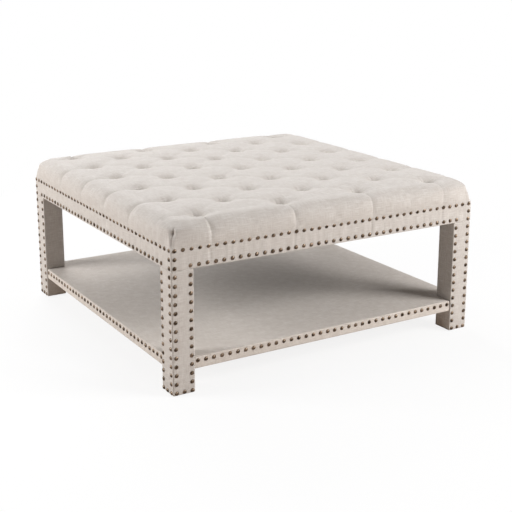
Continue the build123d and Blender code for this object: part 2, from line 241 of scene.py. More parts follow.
def rounded_side(along: np.ndarray, reach: float, radius: float
                 ) -> tuple[np.ndarray, np.ndarray, np.ndarray, np.ndarray]:
    """Bend both ends of a straight side round the corners that it meets.

    Args:
        along: Places along the side, measured from its middle.
        reach: Distance of the side from the middle of the table.
        radius: Radius of the corners.

    Returns:
        The bent places' distance along and outwards, and the same two parts of the
        outward direction.
    """
    over = np.clip((np.abs(along) - (reach - radius)) / radius, 0, 1)
    length = np.hypot(1, over)
    x = np.where(over > 0, np.sign(along) * (reach - radius + radius * over / length), along)
    y = np.where(over > 0, reach - radius + radius / length, reach)
    return x, y, np.sign(along) * over / length, 1 / length


def patch_faces(rows: int, columns: int, start: int = 0, closed: bool = False) -> list[tuple]:
    """Quads between neighbouring points of a patch stored row by row.

    Args:
        rows: Number of rows of points.
        columns: Number of points in a row.
        start: Number of the patch's first point.
        closed: Whether the last column joins the first.

    Returns:
        Four point numbers for each quad.
    """
    faces = []
    for row in range(rows - 1):
        for column in range(columns if closed else columns - 1):
            after = (column + 1) % columns
            low, high = start + row * columns, start + (row + 1) * columns
            faces.append((low + column, low + after, high + after, high + column))
    return faces


def cloth_mesh(name: str, points: np.ndarray, cloth: np.ndarray, faces: list[tuple],
               weld: float = 0.0) -> bpy.types.Object:
    """Make a smooth-shaded mesh object whose UV map holds each point's place on the cloth.

    Args:
        name: The piece's name.
        points: Places in the row frame.
        cloth: Two cloth coordinates in metres for each point.
        faces: Point numbers of each face.
        weld: Points nearer than this are merged, each face keeping its own cloth places.

    Returns:
        The new object, linked to the scene.
    """
    mesh = bpy.data.meshes.new(name)
    mesh.from_pydata(points.tolist(), [], faces)
    layer = mesh.uv_layers.new(name=CLOTH_UV)
    corners = np.zeros(len(mesh.loops), dtype=np.int32)
    mesh.loops.foreach_get("vertex_index", corners)
    layer.data.foreach_set("uv", cloth[corners].astype(np.float32).ravel())
    if weld:
        form = bmesh.new()
        form.from_mesh(mesh)
        bmesh.ops.remove_doubles(form, verts=form.verts, dist=weld)
        form.to_mesh(mesh)
        form.free()
    mesh.shade_smooth()
    return linked(name, mesh)


class Coordinates(Enum):
    """Where a finish takes its pattern's place from."""

    CLOTH = "the piece's own cloth map"
    OBJECT = "the piece's place in the table"


@dataclass(frozen=True)
class Finish:
    """A finish with a name and a way to read places in millimetres."""

    name: str = "finish"
    coordinates: Coordinates = Coordinates.OBJECT
    relief_mm: float = 0.2
    relief_strength: float = 1.0
    roughness: float = 0.6

    def start(self) -> tuple[bpy.types.Material, bpy.types.NodeTree, bpy.types.Node,
                             bpy.types.NodeSocket]:
        """Open a new material.

        Returns:
            The material, its tree, its shader, and a socket with the place in millimetres.
        """
        material = bpy.data.materials.new(self.name)
        tree = empty_tree(material)
        shader = add_node(tree, "ShaderNodeBsdfPrincipled")
        add_node(tree, "ShaderNodeOutputMaterial", links={"Surface": shader.outputs[0]})
        if self.coordinates is Coordinates.CLOTH:
            place = add_node(tree, "ShaderNodeUVMap", {"uv_map": CLOTH_UV}).outputs["UV"]
        else:
            place = add_node(tree, "ShaderNodeTexCoord").outputs["Object"]
        scaled = add_node(tree, "ShaderNodeVectorMath", {"operation": "SCALE", "Scale": 1 / MM},
                          {0: place})
        return material, tree, shader, scaled.outputs["Vector"]

    def streaks(self, tree: bpy.types.NodeTree, place: bpy.types.NodeSocket,
                size_mm: tuple[float, float, float], detail: float = 2.0) -> bpy.types.NodeSocket:
        """Noise whose grains have a real size along each axis.

        Args:
            tree: The material's tree.
            place: Places in millimetres.
            size_mm: Size of a grain along X, Y and Z.
            detail: How much finer noise is added.

        Returns:
            A socket that runs from 0 to 1.
        """
        shares = tuple(1 / size for size in size_mm)
        stretched = add_node(tree, "ShaderNodeVectorMath", {"operation": "MULTIPLY", 1: shares},
                             {0: place})
        grain = add_node(tree, "ShaderNodeTexNoise",
                         {"Scale": 1.0, "Detail": detail, "Roughness": 0.55},
                         {"Vector": stretched.outputs["Vector"]})
        return grain.outputs["Fac"]

    def ramp(self, tree: bpy.types.NodeTree, value: bpy.types.NodeSocket,
             low: float, high: float) -> bpy.types.NodeSocket:
        """Stretch the part of a value between low and high over 0 to 1."""
        mapped = add_node(tree, "ShaderNodeMapRange", {"From Min": low, "From Max": high},
                          {"Value": value})
        return mapped.outputs["Result"]

    def mix(self, tree: bpy.types.NodeTree, share: bpy.types.NodeSocket,
            first: bpy.types.NodeSocket | str, second: bpy.types.NodeSocket | str,
            strength: float = 1.0) -> bpy.types.NodeSocket:
        """Mix two colours, each a socket or a hex value.

        Args:
            tree: The material's tree.
            share: How much of the second colour shows, 0 to 1.
            first: The colour at 0.
            second: The colour at 1.
            strength: The share is multiplied by this.

        Returns:
            A socket with the mixed colour.
        """
        scaled = add_node(tree, "ShaderNodeMath", {"operation": "MULTIPLY", 1: strength},
                          {0: share})
        node = add_node(tree, "ShaderNodeMix", {"data_type": "RGBA"}, {0: scaled.outputs[0]})
        for number, colour in ((6, first), (7, second)):
            if isinstance(colour, str):
                node.inputs[number].default_value = linear(colour)
            else:
                tree.links.new(colour, node.inputs[number])
        return node.outputs[2]

    def total(self, tree: bpy.types.NodeTree, parts: list[tuple[bpy.types.NodeSocket, float]]
              ) -> bpy.types.NodeSocket:
        """Add values, each times its weight.

        Args:
            tree: The material's tree.
            parts: Each value's socket and its weight.

        Returns:
            A socket with the sum.
        """
        running = None
        for value, weight in parts:
            links = {0: value} if running is None else {0: value, 2: running}
            node = add_node(tree, "ShaderNodeMath",
                            {"operation": "MULTIPLY_ADD", 1: weight, 2: 0.0}, links)
            running = node.outputs[0]
        return running

    def surface(self, tree: bpy.types.NodeTree, shader: bpy.types.Node,
                colour: bpy.types.NodeSocket, relief: bpy.types.NodeSocket) -> None:
        """Give the shader its colour, its roughness and its relief.

        Args:
            tree: The material's tree.
            shader: The material's shader.
            colour: A socket with the colour.
            relief: A socket that is 1 where the surface stands relief_mm high.
        """
        settings = {"Strength": self.relief_strength, "Distance": self.relief_mm * MM}
        bump = add_node(tree, "ShaderNodeBump", settings, {"Height": relief})
        tree.links.new(bump.outputs["Normal"], shader.inputs["Normal"])
        tree.links.new(colour, shader.inputs["Base Color"])
        shader.inputs["Roughness"].default_value = self.roughness


@dataclass(frozen=True)
class WovenLinen(Finish):
    """Plain-woven linen-look upholstery: uneven yarns in both directions, with slubs.

    The real yarns are about 0.8 mm apart. They are drawn coarser, so that the heathered
    streaks that they give the cloth can be seen from a step away.
    """

    name: str = "woven_linen"
    coordinates: Coordinates = Coordinates.CLOTH
    pale: str = "DEDAD5"
    shade: str = "C4BCB5"
    slub_light: str = "ECE9E5"
    slub_dark: str = "ABA199"
    yarn_mm: float = 2.1
    yarn_run_mm: float = 34.0
    weave_mm: float = 1.6
    mottle_mm: float = 26.0
    mottle_strength: float = 0.35
    slub_light_strength: float = 0.5
    slub_dark_strength: float = 0.35
    relief_mm: float = 0.28
    roughness: float = 0.92
    specular: float = 0.25
    sheen: float = 0.18
    sheen_roughness: float = 0.5

    def build(self) -> bpy.types.Material:
        """Make the material.

        Returns:
            The finished material.
        """
        material, tree, shader, place = self.start()
        weft = self.streaks(tree, place, (self.yarn_run_mm, self.yarn_mm, 1.0))
        warp = self.streaks(tree, place, (self.yarn_mm, self.yarn_run_mm * 0.8, 1.0))
        fine = self.streaks(tree, place, (self.weave_mm, self.weave_mm, 1.0), 1.0)
        mottle = self.streaks(tree, place, (self.mottle_mm, self.mottle_mm, 1.0), 4.0)
        yarns = self.total(tree, [(weft, 0.42), (warp, 0.38), (fine, 0.2)])
        base = self.mix(tree, self.ramp(tree, yarns, 0.38, 0.62), self.shade, self.pale)
        base = self.mix(tree, self.ramp(tree, mottle, 0.35, 0.68), base, self.shade,
                        self.mottle_strength)
        base = self.mix(tree, self.ramp(tree, weft, 0.62, 0.74), base, self.slub_light,
                        self.slub_light_strength)
        base = self.mix(tree, self.ramp(tree, warp, 0.64, 0.76), base, self.slub_dark,
                        self.slub_dark_strength)
        waves = [add_node(tree, "ShaderNodeTexWave",
                          {"bands_direction": axis, "Scale": 1 / self.weave_mm / 2,
                           "Distortion": 1.2, "Detail": 1.0, "Detail Scale": 0.3},
                          {"Vector": place}).outputs["Fac"] for axis in ("X", "Y")]
        relief = self.total(tree, [(waves[0], 0.25), (waves[1], 0.25), (weft, 0.8), (warp, 0.8)])
        self.surface(tree, shader, base, relief)
        shader.inputs["Specular IOR Level"].default_value = self.specular
        shader.inputs["Sheen Weight"].default_value = self.sheen
        shader.inputs["Sheen Roughness"].default_value = self.sheen_roughness
        return material


@dataclass(frozen=True)
class AgedBronze(Finish):
    """Antique bronze plate on steel nail heads: dark plating, with brighter worn metal in patches
    at random.
    """

    name: str = "aged_bronze"
    dark: str = "34291F"
    worn: str = "A08B77"
    worn_share: float = 0.75
    relief_mm: float = 0.08
    relief_strength: float = 0.5
    least_roughness: float = 0.08
    metallic: float = 0.85

    def build(self) -> bpy.types.Material:
        """Make the material.

        Returns:
            The finished material.
        """
        material, tree, shader, place = self.start()
        patina = self.streaks(tree, place, (9.0, 9.0, 9.0), 3.0)
        grain = self.streaks(tree, place, (1.2, 1.2, 1.2), 2.0)
        colour = self.mix(tree, self.ramp(tree, patina, 0.35, 0.7), self.dark, self.worn,
                          self.worn_share)
        self.surface(tree, shader, colour, grain)
        rough = self.total(tree, [(grain, 0.25), (patina, 0.2)])
        raised = add_node(tree, "ShaderNodeMath", {"operation": "ADD", 1: self.least_roughness},
                          {0: rough})
        tree.links.new(raised.outputs[0], shader.inputs["Roughness"])
        shader.inputs["Metallic"].default_value = self.metallic
        return material


@dataclass(frozen=True)
class SawnWood(Finish):
    """Planed softwood: pale, with darker growth lines drawn out along the board."""

    name: str = "planed_softwood"
    pale: str = "D9B98A"
    dark: str = "A9793F"
    ring_mm: float = 5.0
    run_mm: float = 160.0
    relief_mm: float = 0.25
    relief_strength: float = 0.6
    roughness: float = 0.62

    def build(self) -> bpy.types.Material:
        """Make the material.

        Returns:
            The finished material.
        """
        material, tree, shader, place = self.start()
        grain = self.streaks(tree, place, (self.run_mm, self.ring_mm, self.ring_mm), 4.0)
        pores = self.streaks(tree, place, (18.0, 0.8, 0.8), 1.0)
        value = self.total(tree, [(grain, 0.75), (pores, 0.25)])
        colour = self.mix(tree, self.ramp(tree, value, 0.35, 0.65), self.dark, self.pale)
        self.surface(tree, shader, colour, value)
        return material


@dataclass(frozen=True)
class Plywood(Finish):
    """Sanded plywood: broad flame figure on the face and thin plies at the edges."""

    name: str = "sanded_plywood"
    pale: str = "D8BB8E"
    dark: str = "B08A57"
    ply_mm: float = 1.5
    relief_mm: float = 0.15
    relief_strength: float = 0.5
    roughness: float = 0.58

    def build(self) -> bpy.types.Material:
        """Make the material.

        Returns:
            The finished material.
        """
        material, tree, shader, place = self.start()
        flame = self.streaks(tree, place, (220.0, 22.0, self.ply_mm), 5.0)
        fibre = self.streaks(tree, place, (30.0, 1.2, self.ply_mm), 1.0)
        value = self.total(tree, [(flame, 0.7), (fibre, 0.3)])
        colour = self.mix(tree, self.ramp(tree, value, 0.36, 0.64), self.dark, self.pale)
        self.surface(tree, shader, colour, fibre)
        return material


@dataclass(frozen=True)
class CutFoam(Finish):
    """Cut polyurethane foam: a pale yellow sponge with fine open cells."""

    name: str = "cut_foam"
    relief_mm: float = 0.6
    roughness: float = 0.95

    def build(self) -> bpy.types.Material:
        """Make the material.

        Returns:
            The finished material.
        """
        material, tree, shader, place = self.start()
        cells = add_node(tree, "ShaderNodeTexVoronoi", {"Scale": 0.6}, {"Vector": place})
        colour = self.mix(tree, cells.outputs["Distance"], "D9C896", "EFE3BD")
        self.surface(tree, shader, colour, cells.outputs["Distance"])
        return material


@dataclass(frozen=True)
class Cambric(Finish):
    """Black spun-bonded cambric: matt fibres pressed together, with a dotted emboss."""

    name: str = "black_cambric"
    dot_mm: float = 2.4
    roughness: float = 0.88
    sheen: float = 0.15

    def build(self) -> bpy.types.Material:
        """Make the material.

        Returns:
            The finished material.
        """
        material, tree, shader, place = self.start()
        fibres = self.streaks(tree, place, (14.0, 1.4, 4.0), 3.0)
        dots = add_node(tree, "ShaderNodeTexVoronoi", {"Scale": 1 / self.dot_mm, "Randomness": 0.0},
                        {"Vector": place})
        colour = self.mix(tree, self.ramp(tree, fibres, 0.3, 0.7), "17171A", "2C2C2F")
        relief = self.total(tree, [(fibres, 0.5), (dots.outputs["Distance"], 0.5)])
        self.surface(tree, shader, colour, relief)
        shader.inputs["Sheen Weight"].default_value = self.sheen
        return material


@dataclass(frozen=True)
class WaxedTwine(Finish):
    """Waxed upholstery twine: twisted flax strands with a dull wax gloss."""

    name: str = "waxed_twine"
    relief_mm: float = 0.3
    roughness: float = 0.55

    def build(self) -> bpy.types.Material:
        """Make the material.

        Returns:
            The finished material.
        """
        material, tree, shader, place = self.start()
        twist = add_node(tree, "ShaderNodeTexWave", {"bands_direction": "DIAGONAL", "Scale": 0.5,
                                                     "Distortion": 0.6}, {"Vector": place})
        colour = self.mix(tree, twist.outputs["Fac"], "B39B74", "DAC7A2")
        self.surface(tree, shader, colour, twist.outputs["Fac"])
        return material


@dataclass(frozen=True)
class ZincPlate(Finish):
    """Zinc-plated steel hardware: grey, faintly spangled, with a soft shine."""

    name: str = "zinc_plated_steel"

    def build(self) -> bpy.types.Material:
        """Make the material.

        Returns:
            The finished material.
        """
        material, tree, shader, place = self.start()
        spangle = add_node(tree, "ShaderNodeTexVoronoi", {"Scale": 0.4}, {"Vector": place})
        colour = self.mix(tree, spangle.outputs["Distance"], "A7ABAC", "C9CCCB")
        tree.links.new(colour, shader.inputs["Base Color"])
        rough = self.total(tree, [(spangle.outputs["Distance"], 0.3)])
        tree.links.new(rough, shader.inputs["Roughness"])
        shader.inputs["Metallic"].default_value = 1.0
        return material


@dataclass(frozen=True)
class MouldedPlastic(Finish):
    """Moulded polypropylene: near black, with a fine spark-eroded texture."""

    name: str = "moulded_plastic"
    relief_mm: float = 0.06
    roughness: float = 0.48

    def build(self) -> bpy.types.Material:
        """Make the material.

        Returns:
            The finished material.
        """
        material, tree, shader, place = self.start()
        texture = self.streaks(tree, place, (0.9, 0.9, 0.9), 2.0)
        colour = self.mix(tree, texture, "1B1A19", "2A2826")
        self.surface(tree, shader, colour, texture)
        return material


@dataclass
class Palette:
    """Every finish of the table, built once."""

    linen: bpy.types.Material = field(init=False)
    shelf_linen: bpy.types.Material = field(init=False)
    bronze: bpy.types.Material = field(init=False)
    cambric: bpy.types.Material = field(init=False)
    by_slot: dict[str, bpy.types.Material] = field(init=False)

    def __post_init__(self) -> None:
        """Build the materials and sort them by the record's slots."""
        self.linen = WovenLinen().build()
        self.shelf_linen = WovenLinen(name="woven_linen_shelf", pale="EAE3DC", shade="CFC5BB",
                                      mottle_strength=0.6).build()
        self.bronze = AgedBronze().build()
        self.cambric = Cambric().build()
        self.by_slot = {
            "foam": CutFoam().build(),
            "dust_cloth": self.cambric,
            "twine": WaxedTwine().build(),
            "frame_wood": SawnWood().build(),
            "plywood": Plywood().build(),
            "nail_metal": self.bronze,
            "zinc_steel": ZincPlate().build(),
            "glide_plastic": MouldedPlastic().build(),
            "cover_fabric": self.linen,
        }

    def dress_nodes(self, record: dict, nodes: dict[str, bpy.types.Object]) -> None:
        """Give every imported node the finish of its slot.

        Args:
            record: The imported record, which lists each node's slot.
            nodes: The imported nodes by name.
        """
        for part in record["subparts"]:
            mesh = nodes[part["node"]].data
            mesh.materials.clear()
            mesh.materials.append(self.by_slot[part["material_slot"]])


@dataclass
class TableFrame:
    """The sizes that the covers follow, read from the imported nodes."""

    half: float = field(init=False)
    apron_bottom: float = field(init=False)
    crown: float = field(init=False)
    nail_line: float = field(init=False)
    tuft_floor: float = field(init=False)
    tufts: np.ndarray = field(init=False)

    def __post_init__(self) -> None:
        """Read the boxes of the cover, the nails and the buttons."""
        low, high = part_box("tufted_cover")
        self.half, self.apron_bottom, self.crown = high.x, low.z, high.z
        low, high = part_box("top_edge_nails")
        self.nail_line = (low.z + high.z) / 2
        points = node_points("tuft_buttons")
        self.tuft_floor = points[:, 2].min()
        self.tufts = distinct(points[points[:, 2] < self.tuft_floor + MM], 30 * MM)

    def columns(self) -> np.ndarray:
        """Places of the tuft columns along X."""
        return np.unique(np.round(self.tufts[:, 0], 4))

    def rows(self) -> np.ndarray:
        """Places of the tuft rows along Y."""
        return np.unique(np.round(self.tufts[:, 1], 4))


@dataclass
class TuftedTop:
    """The padded top: pillows between buttons, rolled edges with pleats, and pinched corners.

    A drop, depth or lean is how far the cloth goes in or down. A start, rise or radius is where
    that begins or ends, and a run, reach or width is how far it takes to fade.
    """

    frame: TableFrame
    ring_inset: float = 60 * MM
    edge_radius: float = 26 * MM
    crown_reach: float = 120 * MM
    edge_bulge: float = 13 * MM
    spacing: float = 4.8 * MM
    crowding: float = 0.5
    profile_steps: int = 31
    pillow_drop: float = 5 * MM
    fold_share: float = 0.55
    fold_width: float = 0.46
    edge_narrowing: float = 0.18
    margin_drop: float = 3 * MM
    margin_start: float = 50 * MM
    margin_run: float = 60 * MM
    pleat_drop: float = 3 * MM
    pleat_start: float = 28 * MM
    pleat_run: float = 26 * MM
    lap_depth: float = 3.0 * MM
    lap_width: float = 12 * MM
    lap_ridge: float = 2.5 * MM
    lap_ridge_share: float = 0.14
    tuft_floor_radius: float = 8 * MM
    tuft_reach: float = 33 * MM
    button_hollow: float = 5 * MM
    gathers: int = 9
    gather_share: float = 0.08
    gather_radius: float = 18 * MM
    gather_width: float = 12 * MM
    shoulder_drop: float = 10 * MM
    least_rounding: float = 3 * MM
    corner_rounding: float = 29 * MM
    corner_lean: float = 8 * MM
    lean_rise: float = 62 * MM
    lean_reach: float = 45 * MM
    bulge_reach: float = 50 * MM
    fold_rise: float = 56 * MM
    pinch_depth: float = 5 * MM
    pinch_width: float = 6 * MM
    hollow_height: float = 41 * MM
    hollow_width: float = 6 * MM
    # finer lines take over within crease_half of the place that is crease_middle from a corner;
    # crease_lines holds the first, the limit and the step of their distances from the corner
    crease_middle: float = 5 * MM
    crease_half: float = 4.5 * MM
    crease_lines: tuple[float, float, float] = (0.8 * MM, 9 * MM, 0.9 * MM)
    end_length: float = 50 * MM  # the part of a side next to a corner that stretches with it

    def __post_init__(self) -> None:
        """Find the tuft grid's lines."""
        self.columns = self.frame.columns()
        self.rows = self.frame.rows()
        self.shoulder = self.frame.crown - self.shoulder_drop

    def swell(self, count: np.ndarray, width: np.ndarray | float) -> np.ndarray:
        """How full a pillow is near the folds, which lie at the even counts.

        Args:
            count: A column or row number, with its part of one.
            width: Distance from a fold, in counts, at which the pillow is full.

        Returns:
            0 in a fold and 1 where the pillow is full, rounded like a padded edge.
        """
        away = np.abs(count - 2 * np.round(count / 2))
        share = np.clip(away / width, 0, 1)
        soft = np.clip(np.sqrt(share**2 + 0.01) - 0.1 * (1 - share), 0, 1)
        return np.sqrt(1 - (1 - soft) ** 2)

    def grid_place(self, x: np.ndarray, y: np.ndarray) -> tuple[np.ndarray, np.ndarray]:
        """Find a plan place in the tuft grid.

        Args:
            x: Distance to the right of the table's middle.
            y: Distance behind it.

        Returns:
            Column and row numbers, with parts of one.
        """
        column = (x - self.columns[0]) / (self.columns[1] - self.columns[0])
        row = (y - self.rows[0]) / (self.rows[1] - self.rows[0])
        return column, row

    def pillow(self, x: np.ndarray, y: np.ndarray) -> np.ndarray:
        """How full the padding is.

        Args:
            x: Distance to the right of the table's middle.
            y: Distance behind it.

        Returns:
            0 at a button and 1 on top of a pillow.
        """
        column, row = self.grid_place(x, y)
        last_column, last_row = len(self.columns) - 1, len(self.rows) - 1
        beyond_column = (column < 0) | (column > last_column)
        beyond_row = (row < 0) | (row > last_row)
        rising = self.swell(column + row, self.fold_width)
        falling = self.swell(column - row, self.fold_width)
        on_fold = rising + falling - 2 * rising * falling
        inside = rising * falling + self.fold_share * on_fold
        narrowing = self.edge_narrowing * smooth_step(self.past_end(row, len(self.rows)) / 0.4)
        by_row = self.swell(row, self.fold_width)
        by_column = self.swell(column, self.fold_width - narrowing)
        outside = np.where(beyond_column & beyond_row, 1.0,
                           np.where(beyond_column, by_row, by_column))
        return np.where(beyond_column | beyond_row, outside, inside)

    def lap(self, x: np.ndarray, y: np.ndarray) -> np.ndarray:
        """Depth of the lapped pleats that run outwards from the edge tufts.

        The cloth of each pillow lies over the next one, so a pleat is a step that drops
        sharply and rises again slowly.

        Args:
            x: Distance to the right of the table's middle.
            y: Distance behind it.

        Returns:
            Depth below the pillow tops, less than 0 on the ridge beside a pleat.
        """
        column, row = self.grid_place(x, y)
        depth = np.zeros_like(x)
        past_row = self.past_end(row, len(self.rows))
        past_column = self.past_end(column, len(self.columns))
        for across, beyond, lines in ((x, past_row, self.columns[::2]),
                                      (y, past_column, self.rows[::2])):
            away = across[..., None] - lines
            under = np.where(away > 0, np.exp(-away / self.lap_width), 0).max(axis=-1)
            ridge = bell(away + self.lap_ridge, self.lap_ridge).max(axis=-1)
            shape = under * self.lap_depth - ridge * self.lap_depth * self.lap_ridge_share
            depth = depth + shape * smooth_step(beyond / 0.35)
        return depth

    def past_end(self, count: np.ndarray, total: int) -> np.ndarray:
        """How far a column or row number lies outside the grid."""
        return np.maximum(np.maximum(-count, count - (total - 1)), 0)

    def envelope(self, inset: np.ndarray) -> np.ndarray:
        """Height of the pillow tops at an inset from the nearest side."""
        share = np.clip((inset - self.edge_radius) / self.crown_reach, 0, 1)
        return self.shoulder + (self.frame.crown - self.shoulder) * (1 - (1 - share) ** 2)

    def tuft_pull(self, x: np.ndarray, y: np.ndarray) -> np.ndarray:
        """How far a button pulls the cloth down at each place, as a share of its depth.

        The gathers round each button start at an angle of their own, so no two are alike.

        Args:
            x: Distance to the right of the table's middle.
            y: Distance behind it.

        Returns:
            1 at the button's edge and 0 beyond its reach.
        """
        pull = np.zeros_like(x)
        for tuft in self.frame.tufts:
            away_x, away_y = x - tuft[0], y - tuft[1]
            distance = np.hypot(away_x, away_y)
            near = distance < self.tuft_reach * 3
            turn = np.arctan2(away_y[near], away_x[near])
            ripple = np.sin(self.gathers * turn + tuft[0] * 91 + tuft[1] * 57)
            gathered = bell(distance[near] - self.gather_radius, self.gather_width)
            reach = distance[near] * (1 + self.gather_share * ripple * gathered)
            share = np.clip((reach - self.tuft_floor_radius) / self.tuft_reach, 0, 1)
            pull[near] = np.maximum(pull[near], 1 - np.sqrt(1 - 0.99 * (1 - share) ** 2))
        return pull

    def drop(self, x: np.ndarray, y: np.ndarray) -> np.ndarray:
        """Depth of the folds, pleats and tufts together.

        Args:
            x: Distance to the right of the table's middle.
            y: Distance behind it.

        Returns:
            Depth below the pillow tops.
        """
        inset = self.frame.half - np.maximum(np.abs(x), np.abs(y))
        edge = smooth_step((self.pleat_start - inset) / self.pleat_run)
        margin = smooth_step((inset - self.margin_start) / self.margin_run)
        soft = self.margin_drop + (self.pillow_drop - self.margin_drop) * margin
        soft = soft + (self.pleat_drop - soft) * edge
        depth = soft * (1 - self.pillow(x, y)) + self.lap(x, y)
        full = self.frame.crown - self.button_hollow - self.frame.tuft_floor
        pull = self.tuft_pull(x, y)
        return depth * (1 - pull) + full * pull

    def profile(self) -> np.ndarray:
        """The rolled edge from the ring's inner line down to the nails.

        Returns:
            Rows of inset, height and the outward direction's tilt from upright, in radians.
        """
        inner = float(self.envelope(np.array(self.ring_inset)))
        fall = inner - self.frame.nail_line
        controls = np.array([
            (self.ring_inset, inner),
            (-3 * MM, inner + 1 * MM),
            (-self.edge_bulge, self.frame.nail_line + fall * 0.72),
            (0.0, self.frame.nail_line),
        ])
        share = np.linspace(0, 1, self.profile_steps)[:, None]
        rest = 1 - share
        weights = (rest**3, 3 * share * rest**2, 3 * share**2 * rest, share**3)
        line = sum(weight * control for weight, control in zip(weights, controls))
        steps = np.gradient(line, axis=0)
        tilt = np.arctan2(-steps[:, 1], -steps[:, 0])
        settle = smooth_step(np.linspace(0, 4, self.profile_steps))
        return np.column_stack([line, tilt * settle])

    def side_row(self, along: np.ndarray, place: np.ndarray, share: float, spin: np.ndarray
                 ) -> np.ndarray:
        """One row of points along a rolled edge that faces -Y before it is turned.

        Args:
            along: Places along the side.
            place: Inset, height and tilt of the row.
            share: How far down the roll the row lies, 0 to 1.
            spin: The turn that moves the side to its own place.

        Returns:
            The row's points, already turned.
        """
        inset, height, tilt = place
        reach = self.frame.half - inset
        rise = min(share * 3, (1 - share) * 1.6, 1.0)
        rounding = self.least_rounding + self.corner_rounding * eased(rise)
        x, y, out_x, out_y = rounded_side(along, reach, rounding)
        plan = np.stack([along, np.full_like(along, -min(reach, self.frame.half))], axis=-1) @ spin
        above = height - self.frame.nail_line
        depth = self.drop(plan[:, 0], plan[:, 1]) * (0.2 + 0.8 * eased(above / self.fold_rise))
        tight = eased((share - 0.42) / 0.1) * eased((1.0 - share) / 0.12)
        hollow = float(bell(np.array(above - self.hollow_height), self.hollow_width))
        from_corner = reach - np.abs(along)
        crease = bell(from_corner, self.pinch_width * (1 + hollow * 0.5))
        climb = eased(above / self.lean_rise) * eased(share * 3)
        drawn = self.corner_lean * climb * bell(from_corner, self.lean_reach)
        drawn = drawn + max(-inset, 0.0) * bell(from_corner, self.bulge_reach)
        drawn = drawn + self.pinch_depth * (tight * (1 + hollow)) * crease / math.sqrt(2)
        side = x - out_x * math.sin(tilt) * depth - np.sign(along) * drawn
        front = -(y - out_y * math.sin(tilt) * depth - drawn)
        turned = np.stack([side, front], axis=-1) @ spin
        return np.column_stack([turned, height - math.cos(tilt) * depth])

    def side_patch(self, lines: np.ndarray, spin: np.ndarray) -> tuple[np.ndarray, np.ndarray]:
        """One rolled edge, from the ring's inner line to the nails.

        Args:
            lines: Places along the ring's inner line.
            spin: The turn that moves a side that faces -Y to its own place.

        Returns:
            Points and cloth places, row by row.
        """
        profile = self.profile()
        inner = self.frame.half - self.ring_inset
        straight = inner - self.end_length
        beyond = np.clip((np.abs(lines) - straight) / (inner - straight), 0, 1)
        travel = np.concatenate([[0], np.cumsum(np.hypot(*np.diff(profile[:, :2], axis=0).T))])
        points, cloth = [], []
        for number, place in enumerate(profile):
            reach = self.frame.half - place[0]
            along = np.minimum(np.abs(lines), straight) + beyond * (reach - straight)
            along = along * np.sign(lines)
            points.append(self.side_row(along, place, number / (len(profile) - 1), spin))
            flat = np.stack([along, np.full_like(along, -inner - travel[number])], axis=-1)
            cloth.append(flat @ spin)
        return np.concatenate(points), np.concatenate(cloth)

    def build(self) -> bpy.types.Object:
        """Make the cushion's mesh from the top grid and four rolled edges.

        Returns:
            The finished piece, which has no finish yet.
        """
        inner = self.frame.half - self.ring_inset
        ends = inner - np.arange(*self.crease_lines)
        lines = []
        for stops in (self.columns, self.rows):
            line = graded([-inner, *stops, inner], self.spacing, self.crowding)
            clear = np.abs(np.abs(line) - inner + self.crease_middle) > self.crease_half
            lines.append(np.unique(np.concatenate([line[clear], ends, -ends])))
        xs, ys = lines
        grid_x, grid_y = np.meshgrid(xs, ys)
        inset = self.frame.half - np.maximum(np.abs(grid_x), np.abs(grid_y))
        level = self.envelope(inset) - self.drop(grid_x, grid_y)
        points = [np.stack([grid_x, grid_y, level], axis=-1).reshape(-1, 3)]
        cloth = [points[0][:, :2]]
        faces = patch_faces(len(ys), len(xs))
        for turn in range(4):
            line = ys if turn % 2 else xs
            patch, places = self.side_patch(line, quarter_turns(turn))
            start = sum(len(part) for part in points)
            faces += [face[::-1] for face in patch_faces(self.profile_steps, len(line), start)]
            points.append(patch)
            cloth.append(places)
        return cloth_mesh("tufted_top", np.concatenate(points), np.concatenate(cloth), faces,
                          weld=0.3 * MM)


